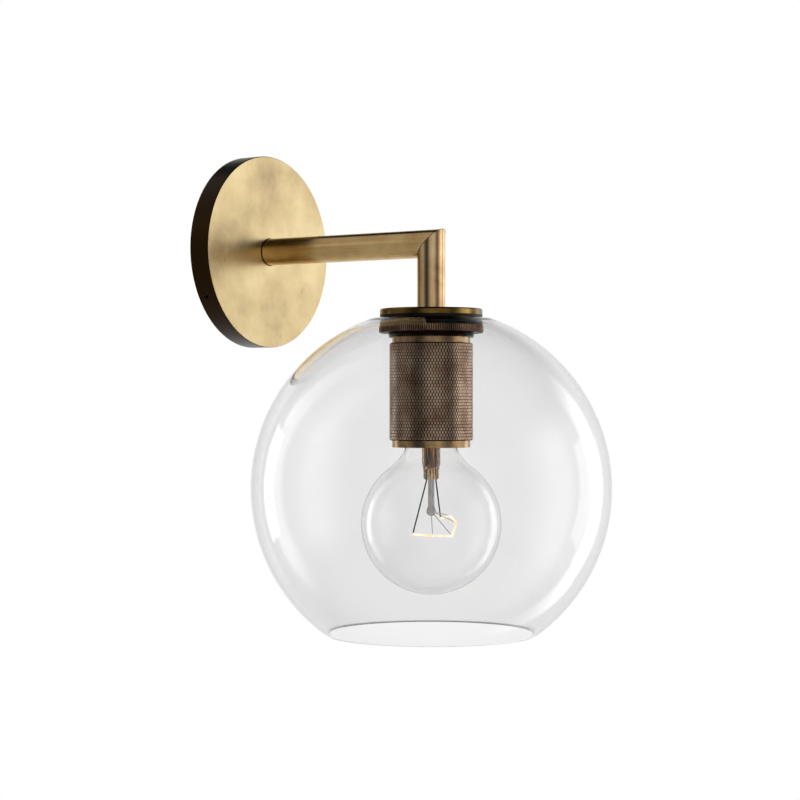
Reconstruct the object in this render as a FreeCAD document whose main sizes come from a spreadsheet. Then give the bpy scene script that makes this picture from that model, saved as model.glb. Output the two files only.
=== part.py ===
import FreeCAD, Part
import math
import os
import re

import Sketcher

# Globe wall sconce: a round canopy, a mitred tube arm, and a clear glass globe clamped round a knurled
# socket that holds a clear round lamp.
#
# Frame: millimetres. The origin is the centre of the canopy's back, on the wall. +Z is up, the arm runs out
# along -Y, and the stem, socket, globe and lamp share one upright axis at the arm's end.
# Heights below are negative, because everything under the arm hangs below the origin.

DIMENSIONS = [
    # Canopy and wall plate
    ("canopy_diameter", 114.0),
    ("canopy_depth", 13.3),
    ("canopy_wall", 1.5),
    ("canopy_edge_radius", 0.6),
    ("plate_thickness", 1.5),
    ("plate_clearance", 0.3),
    ("plate_bend_radius", 0.9),
    ("tab_width", 12.0),
    ("tab_clearance", 2.3),
    ("set_screw_diameter", 4.0),
    ("set_screw_length", 6.0),
    ("set_screw_key", 2.0),
    ("set_screw_recess", 0.2),
    ("slot_spacing", 79.5),
    ("slot_width", 4.8),
    ("slot_length", 14.5),
    ("wire_hole_diameter", 16.0),
    ("earth_screw_diameter", 4.0),
    ("earth_screw_head", 7.6),
    ("earth_screw_drop", 9.5),
    # Terminal block
    ("block_pitch", 8.0),
    ("block_margin", 1.0),
    ("block_height", 9.0),
    ("block_length", 16.0),
    ("block_drop", 24.0),
    ("barrel_diameter", 5.2),
    ("barrel_length", 11.0),
    ("block_screw_diameter", 2.6),
    ("block_screw_spacing", 6.0),
    ("block_screw_recess", 1.0),
    ("block_screw_slot", 0.5),
    ("fixing_screw_diameter", 2.5),
    # Wires
    ("wire_diameter", 2.2),
    ("wire_spread", 2.6),
    ("wire_lift", 3.5),
    ("wire_lead_out", 3.0),
    ("wire_cross_drop", 10.0),
    ("earth_wire_straight", 4.0),
    ("elbow_bend_radius", 12.0),
    ("canopy_bend_radius", 3.5),
    ("holder_bend_radius", 6.0),
    ("small_bend_radius", 4.0),
    # Arm and drop tube
    ("arm_reach", 129.5),
    ("drop_length", 36.8),
    ("tube_diameter", 15.88),
    ("tube_wall", 1.2),
    ("bush_length", 10.0),
    ("solder_clearance", 0.02),
    ("nipple_diameter", 9.9),
    ("nipple_bore", 7.2),
    ("nipple_grip", 8.0),
    ("nipple_projection", 1.0),
    ("thread_clearance", 0.05),
    ("hole_clearance", 0.15),
    ("nut_across_flats", 14.0),
    ("nut_thickness", 3.0),
    ("washer_diameter", 18.0),
    ("washer_thickness", 1.0),
    # Clamp disc, gaskets, collar and retaining ring
    ("disc_diameter", 58.0),
    ("disc_thickness", 3.4),
    ("disc_edge_radius", 1.0),
    ("gasket_diameter", 58.0),
    ("gasket_thickness", 1.8),
    ("gasket_clearance", 0.3),
    ("collar_diameter", 48.6),
    ("collar_roof", 3.0),
    ("thread_length", 12.8),
    ("relief_length", 3.2),
    ("neck_diameter", 44.2),
    ("neck_wall", 1.9),
    ("neck_engagement", 9.8),
    ("ring_diameter", 59.0),
    ("ring_height", 4.3),
    ("ring_chamfer", 0.5),
    ("flute_pitch", 1.25),
    ("flute_depth", 0.4),
    ("flute_share", 0.8),
    # Globe
    ("globe_diameter", 203.2),
    ("globe_wall", 2.2),
    ("globe_hole_diameter", 50.4),
    ("globe_land_diameter", 66.0),
    ("globe_mouth_diameter", 118.0),
    ("globe_shoulder_radius", 8.0),
    ("globe_rim_radius", 0.9),
    # Knurled cover and end ring
    ("cover_diameter", 47.2),
    ("cover_length", 54.8),
    ("cover_end_land", 0.4),
    ("end_ring_lip", 3.9),
    ("end_ring_flange", 1.2),
    ("end_ring_bore", 32.0),
    ("end_ring_engagement", 8.0),
    # Lampholder and its bracket
    ("holder_diameter", 39.0),
    ("holder_clearance", 0.1),
    ("holder_inset", 4.0),
    ("holder_height", 45.0),
    ("socket_depth", 27.0),
    ("socket_shell_wall", 0.5),
    ("socket_shell_length", 26.0),
    ("socket_flange_bore", 19.0),
    ("socket_clearance", 0.1),
    ("contact_width", 6.0),
    ("contact_strip", 0.5),
    ("contact_drop", 3.3),
    ("contact_gap", 0.05),
    ("rivet_diameter", 2.4),
    ("rivet_head", 3.6),
    ("rivet_head_height", 0.6),
    ("terminal_offset", 15.5),
    ("terminal_width", 7.0),
    ("terminal_thickness", 1.2),
    ("terminal_screw_diameter", 3.5),
    ("terminal_screw_head", 6.4),
    ("terminal_screw_length", 8.0),
    ("terminal_margin", 1.0),
    ("screw_foot_gap", 1.0),
    ("bracket_span", 32.4),
    ("bracket_width", 12.0),
    ("bracket_strip", 1.2),
    ("bracket_foot", 7.0),
    ("bracket_screw_diameter", 3.0),
    ("bracket_screw_head", 5.4),
    ("bracket_screw_length", 8.0),
    ("screw_head_height", 2.2),
    ("driver_slot_width", 0.9),
    # Lamp
    ("lamp_diameter", 79.4),
    ("lamp_ball_gap", 3.7),
    ("lamp_wall", 0.8),
    ("lamp_neck_diameter", 24.7),
    ("lamp_neck_straight", 4.4),
    ("lamp_neck_top", 16.7),
    ("base_diameter", 26.3),
    ("base_wall", 0.5),
    ("base_skirt", 24.7),
    ("base_insulator_height", 3.7),
    ("base_insulator_sink", 1.0),
    ("tip_diameter", 9.0),
    ("tip_height", 1.5),
    ("tip_margin", 1.0),
    ("lamp_turn", -55.0),
    ("mount_diameter", 10.4),
    ("mount_wall", 1.0),
    ("mount_length", 33.0),
    ("mount_flare_length", 5.0),
    ("press_width", 8.8),
    ("press_thickness", 4.4),
    ("press_length", 7.0),
    ("press_edge", 0.6),
    ("press_blend", 2.0),
    ("rod_diameter", 3.6),
    ("rod_length", 18.0),
    ("button_diameter", 5.6),
    ("lead_diameter", 0.8),
    ("lead_spread", 5.4),
    ("lead_bend_radius", 1.5),
    ("lead_straight", 1.0),
    ("support_diameter", 0.4),
    ("filament_diameter", 0.7),
    ("filament_bend_radius", 2.0),
    ("support_shortfall", 1.6),
]

doc = FreeCAD.newDocument("globe_wall_sconce")
sheet = doc.addObject("Spreadsheet::Sheet", "sizes")
for row, (alias, number) in enumerate(DIMENSIONS, start=1):
    sheet.set("A%d" % row, alias)
    sheet.set("B%d" % row, str(number))
    sheet.setAlias("B%d" % row, alias)
doc.recompute()

MATHS = {"sqrt", "cos", "sin", "max", "min"}
SCREW_ANGLES = 3
POLES = 3

# Distances out from the wall, for the pieces on the arm's axis
PLATE_FACE = "plate_thickness"
CANOPY_INSIDE = "(canopy_depth - canopy_wall)"
WASHER_FACE = "(canopy_depth - canopy_wall - washer_thickness)"
NUT_FACE = "(canopy_depth - canopy_wall - washer_thickness - nut_thickness)"
WIRE_PLANE = "(plate_thickness + wire_lift)"
SET_SCREW_PLANE = "((canopy_depth - canopy_wall) / 2)"
CANOPY_BORE = "(canopy_diameter / 2 - canopy_wall)"
TAB_FACE = "sqrt((canopy_diameter / 2 - canopy_wall - plate_clearance)^2 - tab_width^2 / 4)"

# Heights on the stem's axis, from the top down
DISC_TOP = "-drop_length"
DISC_UNDER = "(-drop_length - disc_thickness)"
GLASS_TOP = "(-drop_length - disc_thickness - gasket_thickness)"
GLASS_UNDER = "(-drop_length - disc_thickness - gasket_thickness - globe_wall)"
RING_TOP = "(-drop_length - disc_thickness - 2 * gasket_thickness - globe_wall)"
RING_UNDER = "(-drop_length - disc_thickness - 2 * gasket_thickness - globe_wall - ring_height)"
ROOF_UNDER = "(-drop_length - disc_thickness - collar_roof)"
STRAP_UNDER = "(-drop_length - disc_thickness - collar_roof - bracket_strip)"
STEM_NUT_UNDER = "(-drop_length - disc_thickness - collar_roof - bracket_strip - nut_thickness)"
THREAD_END = "(-drop_length - disc_thickness - thread_length)"
COVER_TOP = "(-drop_length - disc_thickness - thread_length - relief_length)"
COVER_END = "(-drop_length - disc_thickness - thread_length - relief_length - cover_length)"
HOLDER_UNDER = "(" + COVER_END + " + holder_inset)"
HOLDER_TOP = "(" + HOLDER_UNDER + " + holder_height)"
SOCKET_FLOOR = "(" + HOLDER_UNDER + " + socket_depth)"
TERMINAL_TOP = "(" + HOLDER_TOP + " + terminal_thickness)"
LAMP_TIP = "(" + SOCKET_FLOOR + " - contact_drop)"
LAMP_CENTRE = "(" + COVER_END + " - end_ring_lip - lamp_ball_gap - lamp_diameter / 2)"
NECK_TOP = "(" + LAMP_TIP + " - lamp_neck_top)"
PRESS_END = "(" + LAMP_TIP + " - lamp_neck_top - mount_length)"
GLOBE_CENTRE = "(" + GLASS_TOP + " - sqrt(globe_diameter^2 - globe_land_diameter^2) / 2)"

# Radii that two pieces share
TUBE_BORE = "(tube_diameter / 2 - tube_wall)"
NIPPLE_HOLE = "(nipple_diameter / 2 + hole_clearance)"
NECK_BORE = "(neck_diameter / 2 - neck_wall)"
COVER_BORE = "(neck_diameter / 2 + thread_clearance)"
SHELL_BORE = "(base_diameter / 2 + socket_clearance)"
SHELL_OUTSIDE = "(base_diameter / 2 + socket_clearance + socket_shell_wall)"
BASE_BORE = "(base_diameter / 2 - base_wall)"
NEUTRAL_RIVET = "((socket_flange_bore / 2 + " + SHELL_BORE + ") / 2)"
LIVE_RIVET = "(socket_flange_bore / 2 - rivet_head / 2 - terminal_margin)"
BRACKET_SCREW_OFFSET = "(bracket_span / 2 - bracket_strip - bracket_foot / 2)"
PLATE_BEND = "(plate_bend_radius + plate_thickness)"


# Sizes, bodies, sketches and features ---------------------------------------------------------------------

def cells(text):
    """The same expression with each size named as its cell of the sheet."""
    def name(word):
        return word.group() if word.group() in MATHS else "sizes." + word.group()
    return re.sub(r"[a-z][a-z_]*", name, text)


def value(text):
    return float(sheet.evalExpression(cells(text)))


def at(x, y, z):
    return FreeCAD.Vector(value(x), value(y), value(z))


def new_body(name, on_stem=False):
    """A body at the canopy's centre, or on the stem's axis at the arm's height."""
    body = doc.addObject("PartDesign::Body", name)
    body.Label = name
    if on_stem:
        body.setExpression("Placement.Base.y", cells("-arm_reach"))
    return body


def datum(body, role):
    return next(item for item in body.Origin.OriginFeatures if item.Role == role)


def sketch_on(body, role, name, offset="0"):
    """A sketch on one of the body's own planes, moved along the plane's normal by an offset."""
    sketch = body.newObject("Sketcher::SketchObject", name)
    sketch.AttachmentSupport = (datum(body, role), [""])
    sketch.MapMode = "FlatFace"
    if offset != "0":
        sketch.setExpression("AttachmentOffset.Base.z", cells(offset))
    return sketch


def fix(sketch, constraint, text):
    number = sketch.addConstraint(constraint)
    sketch.setExpression("Constraints[%d]" % number, cells(text))


def fix_point(sketch, edge, end, across, up):
    fix(sketch, Sketcher.Constraint("DistanceX", -1, 1, edge, end, value(across)), across)
    fix(sketch, Sketcher.Constraint("DistanceY", -1, 1, edge, end, value(up)), up)


def add_arc(sketch, here, there, radius, side):
    """An arc under a half circle. Its centre is on the left or right of the way from here to there."""
    chord = there - here
    reach = math.sqrt(radius ** 2 - (chord.Length / 2) ** 2)
    across = FreeCAD.Vector(-chord.y, chord.x, 0).normalize()
    centre = (here + there) * 0.5 + across * (reach if side == "left" else -reach)
    first, last = (here, there) if side == "left" else (there, here)
    turn_from = math.atan2(first.y - centre.y, first.x - centre.x)
    turn_to = math.atan2(last.y - centre.y, last.x - centre.x)
    circle = Part.Circle(centre, FreeCAD.Vector(0, 0, 1), radius)
    edge = sketch.addGeometry(Part.ArcOfCircle(circle, turn_from, turn_to), False)
    return (edge, 1, 2) if side == "left" else (edge, 2, 1)


def add_outline(sketch, corners):
    """A closed outline. A corner is (across, up), with (radius, side) added where an arc leaves it."""
    points = [at(corner[0], corner[1], "0") for corner in corners]
    edges = []
    for number, corner in enumerate(corners):
        here = points[number]
        there = points[(number + 1) % len(points)]
        if len(corner) == 2:
            edges.append((sketch.addGeometry(Part.LineSegment(here, there), False), 1, 2))
        else:
            edges.append(add_arc(sketch, here, there, value(corner[2]), corner[3]))
    for number, (edge, start, end) in enumerate(edges):
        following, following_start, _ = edges[(number + 1) % len(edges)]
        sketch.addConstraint(Sketcher.Constraint("Coincident", edge, end, following, following_start))
    for corner, (edge, start, end) in zip(corners, edges):
        fix_point(sketch, edge, start, corner[0], corner[1])
        if len(corner) == 4:
            fix(sketch, Sketcher.Constraint("Radius", edge, value(corner[2])), corner[2])


def add_circle(sketch, radius, across="0", up="0"):
    centre = at(across, up, "0")
    edge = sketch.addGeometry(Part.Circle(centre, FreeCAD.Vector(0, 0, 1), value(radius)), False)
    fix_point(sketch, edge, 3, across, up)
    fix(sketch, Sketcher.Constraint("Radius", edge, value(radius)), radius)


def rectangle(left, right, low, high):
    return [(left, low), (right, low), (right, high), (left, high)]


def hexagon(across_flats):
    corner = "(" + across_flats + ") / sqrt(3)"
    return [(corner + " * cos(%d)" % turn, corner + " * sin(%d)" % turn) for turn in range(0, 360, 60)]


def revolve(body, corners, role="XZ_Plane", name="turned"):
    """Turns an outline about the upright axis of its sketch."""
    profile = sketch_on(body, role, body.Name + "_" + name + "_profile")
    add_outline(profile, corners)
    doc.recompute()
    turned = body.newObject("PartDesign::Revolution", body.Name + "_" + name)
    turned.Profile = profile
    turned.ReferenceAxis = (profile, ["V_Axis"])
    turned.Angle = 360
    return turned


def pad(body, sketch, length, name="pad", symmetric=False):
    doc.recompute()
    solid = body.newObject("PartDesign::Pad", body.Name + "_" + name)
    solid.Profile = sketch
    solid.SideType = "Symmetric" if symmetric else "One side"
    solid.setExpression("Length", cells(length))
    return solid


def pocket(body, sketch, name, length=None, reverse=False, symmetric=True):
    """Cuts a sketch's shape right through both ways, or one way, or to a depth."""
    doc.recompute()
    before = body.Shape.Volume
    cut = body.newObject("PartDesign::Pocket", body.Name + "_" + name)
    cut.Profile = sketch
    if length:
        cut.Reversed = reverse
        cut.setExpression("Length", cells(length))
    else:
        cut.Type = "ThroughAll"
        cut.SideType = "Symmetric" if symmetric else "One side"
        cut.Reversed = reverse
    doc.recompute()
    if not body.Shape.Volume < before:
        raise RuntimeError(body.Name + ": " + name + " cuts nothing")
    return cut


def turn_pattern(body, features, role, count, name="pattern"):
    """Repeats features round one of the body's own axes."""
    doc.recompute()
    pattern = body.newObject("PartDesign::PolarPattern", body.Name + "_" + name)
    pattern.Originals = features
    pattern.Axis = (datum(body, role), [""])
    pattern.Angle = 360
    pattern.Occurrences = count
    pattern.Refine = False
    body.Tip = pattern
    return pattern


def soften(body, name, radius, wanted):
    """Rounds the level circular edges whose box is wanted."""
    doc.recompute()
    base = body.Tip
    edges = ["Edge%d" % number for number, edge in enumerate(base.Shape.Edges, start=1)
             if edge.BoundBox.ZLength < 0.01 and wanted(edge.BoundBox)]
    fillet = body.newObject("PartDesign::Fillet", body.Name + "_" + name)
    fillet.Base = (base, edges)
    fillet.setExpression("Radius", cells(radius))


def washer(body, role, offset, length, outside, bore):
    """A round plate with a hole, from an offset along the plane's normal."""
    outline = sketch_on(body, role, body.Name + "_outline", offset)
    add_circle(outline, outside)
    add_circle(outline, bore)
    pad(body, outline, length)


def hex_nut(name, role, offset, on_stem):
    nut = new_body(name, on_stem)
    outline = sketch_on(nut, role, name + "_outline", offset)
    add_outline(outline, hexagon("nut_across_flats"))
    add_circle(outline, "nipple_diameter / 2 + thread_clearance")
    pad(nut, outline, "nut_thickness")


def tangent_path(points, radii):
    """Straight runs joined by tangent arcs, one radius for each point between the ends."""
    edges = []
    start = points[0]
    for number, radius in enumerate(radii, start=1):
        corner = points[number]
        back = (points[number - 1] - corner).normalize()
        ahead = (points[number + 1] - corner).normalize()
        half_turn = (math.pi - back.getAngle(ahead)) / 2
        trim = radius * math.tan(half_turn)
        middle = corner + (back + ahead).normalize() * (radius / math.cos(half_turn) - radius)
        edges.append(Part.LineSegment(start, corner + back * trim).toShape())
        edges.append(Part.Arc(corner + back * trim, middle, corner + ahead * trim).toShape())
        start = corner + ahead * trim
    edges.append(Part.LineSegment(start, points[-1]).toShape())
    return Part.Wire(edges)


def bent_wire(points, radii, diameter):
    """A round wire along a tangent path. Its volume is compared with its section times its length."""
    path = tangent_path(points, radii)
    section = Part.Wire(Part.Circle(points[0], points[1] - points[0], diameter / 2).toShape())
    wire = path.makePipeShell([section], True, True)
    expected = math.pi * diameter ** 2 / 4 * path.Length
    print("wire %.1f mm long, bends %s, volume off by %.3f %%"
          % (path.Length, radii, 100 * (wire.Volume / expected - 1)))
    return wire


def feature(name, shapes, placement=None):
    """A named piece, or a set of like pieces, from finished shapes."""
    piece = doc.addObject("Part::Feature", name)
    piece.Label = name
    piece.Shape = shapes[0] if len(shapes) == 1 else Part.makeCompound(shapes)
    if placement:
        piece.Placement = placement
    return piece


# Wall plate and canopy ------------------------------------------------------------------------------------

def make_wall_plate():
    """Stamped steel disc with a wire hole, two slots and three upturned tabs, tapped for the set screws."""
    plate = new_body("wall_plate")
    face = sketch_on(plate, "XZ_Plane", "wall_plate_face")
    add_circle(face, TAB_FACE + " - plate_thickness")
    add_circle(face, "wire_hole_diameter / 2")
    add_circle(face, "earth_screw_diameter / 2 + thread_clearance", "block_pitch", "-earth_screw_drop")
    add_circle(face, "fixing_screw_diameter / 2 + thread_clearance", "block_pitch / 2",
               "-block_drop - block_length / 2")
    pad(plate, face, "plate_thickness")
    tab = sketch_on(plate, "YZ_Plane", "wall_plate_tab")
    root = TAB_FACE + " - 3 * plate_thickness"
    inner = TAB_FACE + " - plate_thickness"
    bend = TAB_FACE + " - " + PLATE_BEND
    top = "-(" + CANOPY_INSIDE + " - tab_clearance)"
    add_outline(tab, [
        ("0", root),
        ("0", bend, PLATE_BEND, "right"),
        ("-" + PLATE_BEND, TAB_FACE),
        (top, TAB_FACE),
        (top, inner),
        ("-" + PLATE_BEND, inner, "plate_bend_radius", "left"),
        ("-plate_thickness", bend),
        ("-plate_thickness", root),
    ])
    tab_pad = pad(plate, tab, "tab_width", "tab", symmetric=True)
    tapping = sketch_on(plate, "XY_Plane", "wall_plate_tapping")
    add_circle(tapping, "set_screw_diameter / 2 + thread_clearance", "0", "-" + SET_SCREW_PLANE)
    tapped = pocket(plate, tapping, "tapped", reverse=True, symmetric=False)
    turn_pattern(plate, [tab_pad, tapped], "Y_Axis", SCREW_ANGLES, "tabs")
    slots = sketch_on(plate, "XZ_Plane", "wall_plate_slots")
    half_straight = "(slot_length - slot_width) / 2"
    end = "slot_width / 2"
    for side in ("-", ""):
        near = side + "slot_spacing / 2 - " + half_straight
        far = side + "slot_spacing / 2 + " + half_straight
        add_outline(slots, [
            (near, "-" + end),
            (far, "-" + end, end, "left"),
            (far + " + " + end, "0", end, "left"),
            (far, end),
            (near, end, end, "left"),
            (near + " - " + end, "0", end, "left"),
        ])
    pocket(plate, slots, "slots")


def make_canopy():
    """Spun brass cup, open at the wall, with a hole for the nipple and three holes in its rim."""
    canopy = new_body("canopy")
    edge = "canopy_edge_radius"
    revolve(canopy, [
        (NIPPLE_HOLE, "-canopy_depth"),
        ("canopy_diameter / 2 - " + edge, "-canopy_depth", edge, "left"),
        ("canopy_diameter / 2", "-canopy_depth + " + edge),
        ("canopy_diameter / 2", "0"),
        (CANOPY_BORE, "0"),
        (CANOPY_BORE, "-" + CANOPY_INSIDE),
        (NIPPLE_HOLE, "-" + CANOPY_INSIDE),
    ], "XY_Plane")
    hole = sketch_on(canopy, "XY_Plane", "canopy_rim_hole")
    add_circle(hole, "set_screw_diameter / 2 + hole_clearance", "0", "-" + SET_SCREW_PLANE)
    drilled = pocket(canopy, hole, "drilled", reverse=True, symmetric=False)
    turn_pattern(canopy, [drilled], "Y_Axis", SCREW_ANGLES, "rim_holes")


def make_canopy_set_screws():
    """Three headless screws, flush with the canopy's rim, in the plate's tabs."""
    screws = new_body("canopy_set_screws")
    top = "(canopy_diameter / 2 - set_screw_recess)"
    shank = sketch_on(screws, "XY_Plane", "canopy_set_screw_shank", top + " - set_screw_length")
    add_circle(shank, "set_screw_diameter / 2", "0", "-" + SET_SCREW_PLANE)
    turned = pad(screws, shank, "set_screw_length")
    key = sketch_on(screws, "XY_Plane", "canopy_set_screw_key", top)
    flats = hexagon("set_screw_key")
    add_outline(key, [(across, up + " - " + SET_SCREW_PLANE) for across, up in flats])
    socket = pocket(screws, key, "socket", "set_screw_length / 3")
    turn_pattern(screws, [turned, socket], "Y_Axis", SCREW_ANGLES, "three")


def make_earth_screw():
    """Pan-head screw in the plate, with the earth wire under its head."""
    screw = new_body("earth_screw")
    head_under = "plate_thickness + wire_diameter + 2 * thread_clearance"
    shank = sketch_on(screw, "XZ_Plane", "earth_screw_shank")
    add_circle(shank, "earth_screw_diameter / 2", "block_pitch", "-earth_screw_drop")
    pad(screw, shank, head_under + " + screw_head_height / 2", "shank")
    head = sketch_on(screw, "XZ_Plane", "earth_screw_cap", head_under)
    add_circle(head, "earth_screw_head / 2", "block_pitch", "-earth_screw_drop")
    pad(screw, head, "screw_head_height", "cap")
    cross = sketch_on(screw, "XZ_Plane", "earth_screw_slot", head_under + " + screw_head_height")
    half = "earth_screw_head / 2"
    gap = "driver_slot_width / 2"
    add_outline(cross, rectangle("block_pitch - " + half, "block_pitch + " + half,
                                 "-earth_screw_drop - " + gap, "-earth_screw_drop + " + gap))
    pocket(screw, cross, "slot", "screw_head_height / 2")


# Terminal block -------------------------------------------------------------------------------------------

def pole_positions():
    return ["%d * block_pitch" % (number - POLES // 2) for number in range(POLES)]


def make_terminal_block():
    """Moulded block with a wire way through each pole, screw holes in its face and one fixing hole."""
    block = new_body("terminal_block")
    half = "(block_pitch * %d / 2 + block_margin)" % POLES
    outline = sketch_on(block, "XZ_Plane", "terminal_block_outline", PLATE_FACE)
    add_outline(outline, rectangle("-" + half, half, "-block_drop - block_length", "-block_drop"))
    pad(block, outline, "block_height")
    ways = sketch_on(block, "XY_Plane", "terminal_block_ways")
    for pole in pole_positions():
        add_circle(ways, "barrel_diameter / 2 + thread_clearance", pole, "-" + WIRE_PLANE)
    pocket(block, ways, "ways")
    holes = sketch_on(block, "XZ_Plane", "terminal_block_holes", PLATE_FACE + " + block_height")
    for pole in pole_positions():
        for side in ("+", "-"):
            add_circle(holes, "block_screw_diameter / 2 + hole_clearance", pole,
                       "-block_drop - block_length / 2 " + side + " block_screw_spacing / 2")
    pocket(block, holes, "holes", "block_height - wire_lift")
    fixing = sketch_on(block, "XZ_Plane", "terminal_block_fixing")
    add_circle(fixing, "fixing_screw_diameter / 2 + hole_clearance", "block_pitch / 2",
               "-block_drop - block_length / 2")
    pocket(block, fixing, "fixing")


def make_block_barrels():
    """A brass barrel in each pole, with a bore for the wires and two tapped holes."""
    barrels = new_body("block_barrels")
    ends = sketch_on(barrels, "XY_Plane", "block_barrel_ends",
                     "-block_drop - (block_length + barrel_length) / 2")
    for pole in pole_positions():
        add_circle(ends, "barrel_diameter / 2", pole, "-" + WIRE_PLANE)
        add_circle(ends, "wire_diameter / 2 + hole_clearance", pole, "-" + WIRE_PLANE)
    pad(barrels, ends, "barrel_length")
    tapping = sketch_on(barrels, "XZ_Plane", "block_barrel_tapping", WIRE_PLANE)
    for pole in pole_positions():
        for side in ("+", "-"):
            add_circle(tapping, "block_screw_diameter / 2 + thread_clearance", pole,
                       "-block_drop - block_length / 2 " + side + " block_screw_spacing / 2")
    pocket(barrels, tapping, "tapped", "barrel_diameter", reverse=True)


def make_block_screws():
    """Two clamping screws in each pole, and their driver slots."""
    screws = new_body("block_screws")
    tip = WIRE_PLANE + " + wire_diameter / 2 + thread_clearance"
    length = "(" + PLATE_FACE + " + block_height - block_screw_recess - " + tip + ")"
    places = [(pole, "-block_drop - block_length / 2 " + side + " block_screw_spacing / 2")
              for pole in pole_positions() for side in ("+", "-")]
    shanks = sketch_on(screws, "XZ_Plane", "block_screw_shanks", tip)
    for across, up in places:
        add_circle(shanks, "block_screw_diameter / 2", across, up)
    pad(screws, shanks, length)
    slots = sketch_on(screws, "XZ_Plane", "block_screw_slots", tip + " + " + length)
    half = "block_screw_diameter / 2"
    gap = "block_screw_slot / 2"
    for across, up in places:
        add_outline(slots, rectangle(across + " - " + half, across + " + " + half,
                                     up + " - " + gap, up + " + " + gap))
    pocket(screws, slots, "slots", "block_screw_diameter / 3")


def make_block_fixing_screw():
    """The screw that holds the block to the plate."""
    screw = new_body("block_fixing_screw")
    place = ("block_pitch / 2", "-block_drop - block_length / 2")
    shank = sketch_on(screw, "XZ_Plane", "block_fixing_screw_shank")
    add_circle(shank, "fixing_screw_diameter / 2", *place)
    pad(screw, shank, PLATE_FACE + " + block_height", "shank")
    head = sketch_on(screw, "XZ_Plane", "block_fixing_screw_cap", PLATE_FACE + " + block_height")
    add_circle(head, "fixing_screw_diameter", *place)
    pad(screw, head, "fixing_screw_diameter / 4", "cap")


# Arm, drop tube and what joins them -----------------------------------------------------------------------

def make_arm_tube():
    """Tube from the canopy's face to the elbow, cut there at 45 degrees."""
    tube = new_body("arm_tube")
    washer(tube, "XZ_Plane", "canopy_depth", "arm_reach + tube_diameter - canopy_depth",
           "tube_diameter / 2", TUBE_BORE)
    mitre = sketch_on(tube, "YZ_Plane", "arm_tube_mitre")
    add_outline(mitre, [
        ("-arm_reach + tube_diameter", "-tube_diameter"),
        ("-arm_reach - 2 * tube_diameter", "2 * tube_diameter"),
        ("-arm_reach - 2 * tube_diameter", "-tube_diameter"),
    ])
    pocket(tube, mitre, "mitred")


def make_drop_tube():
    """Tube from the elbow down to the clamp disc, cut at 45 degrees to meet the arm."""
    tube = new_body("drop_tube", on_stem=True)
    washer(tube, "XY_Plane", DISC_TOP, "drop_length + tube_diameter", "tube_diameter / 2", TUBE_BORE)
    mitre = sketch_on(tube, "YZ_Plane", "drop_tube_mitre")
    add_outline(mitre, [
        ("tube_diameter", "-tube_diameter"),
        ("tube_diameter", "2 * tube_diameter"),
        ("-2 * tube_diameter", "2 * tube_diameter"),
    ])
    pocket(tube, mitre, "mitred")


def make_bushes_and_nipples():
    """A threaded bush brazed in each tube's end, and the hollow nipple that screws into it."""
    outside = TUBE_BORE + " - solder_clearance"
    bore = "nipple_diameter / 2 + thread_clearance"
    arm_bush = new_body("arm_bush")
    washer(arm_bush, "XZ_Plane", "canopy_depth", "bush_length", outside, bore)
    stem_bush = new_body("stem_bush", on_stem=True)
    washer(stem_bush, "XY_Plane", DISC_TOP, "bush_length", outside, bore)
    arm_nipple = new_body("arm_nipple")
    washer(arm_nipple, "XZ_Plane", NUT_FACE + " - nipple_projection",
           "canopy_depth + nipple_grip - " + NUT_FACE + " + nipple_projection",
           "nipple_diameter / 2", "nipple_bore / 2")
    stem_nipple = new_body("stem_nipple", on_stem=True)
    washer(stem_nipple, "XY_Plane", STEM_NUT_UNDER + " - nipple_projection",
           DISC_TOP + " + nipple_grip - " + STEM_NUT_UNDER + " + nipple_projection",
           "nipple_diameter / 2", "nipple_bore / 2")


def make_arm_fixings():
    """Washer and nut inside the canopy, and the nut inside the collar."""
    spreader = new_body("arm_washer")
    washer(spreader, "XZ_Plane", WASHER_FACE, "washer_thickness", "washer_diameter / 2", NIPPLE_HOLE)
    hex_nut("arm_nut", "XZ_Plane", NUT_FACE, on_stem=False)
    hex_nut("stem_nut", "XY_Plane", STEM_NUT_UNDER, on_stem=True)


# Clamp: disc, gaskets, collar, glass and ring -------------------------------------------------------------

def make_clamp_disc():
    """Brass disc that closes the globe's top hole, rounded along its upper edge."""
    disc = new_body("clamp_disc", on_stem=True)
    edge = "disc_edge_radius"
    revolve(disc, [
        (NIPPLE_HOLE, DISC_UNDER),
        ("disc_diameter / 2", DISC_UNDER),
        ("disc_diameter / 2", DISC_TOP + " - " + edge, edge, "left"),
        ("disc_diameter / 2 - " + edge, DISC_TOP),
        (NIPPLE_HOLE, DISC_TOP),
    ])


def make_gaskets():
    """Rubber rings above and below the glass."""
    bore = "collar_diameter / 2 + gasket_clearance"
    upper = new_body("upper_gasket", on_stem=True)
    washer(upper, "XY_Plane", GLASS_TOP, "gasket_thickness", "gasket_diameter / 2", bore)
    lower = new_body("lower_gasket", on_stem=True)
    washer(lower, "XY_Plane", RING_TOP, "gasket_thickness", "gasket_diameter / 2", bore)


def make_threaded_collar():
    """Turned cup under the disc: a thread for the ring, then a narrower neck that carries the cover."""
    collar = new_body("threaded_collar", on_stem=True)
    revolve(collar, [
        (NIPPLE_HOLE, DISC_UNDER),
        ("collar_diameter / 2", DISC_UNDER),
        ("collar_diameter / 2", THREAD_END),
        ("neck_diameter / 2", THREAD_END),
        ("neck_diameter / 2", COVER_TOP + " - neck_engagement"),
        (NECK_BORE, COVER_TOP + " - neck_engagement"),
        (NECK_BORE, ROOF_UNDER),
        (NIPPLE_HOLE, ROOF_UNDER),
    ])


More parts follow.
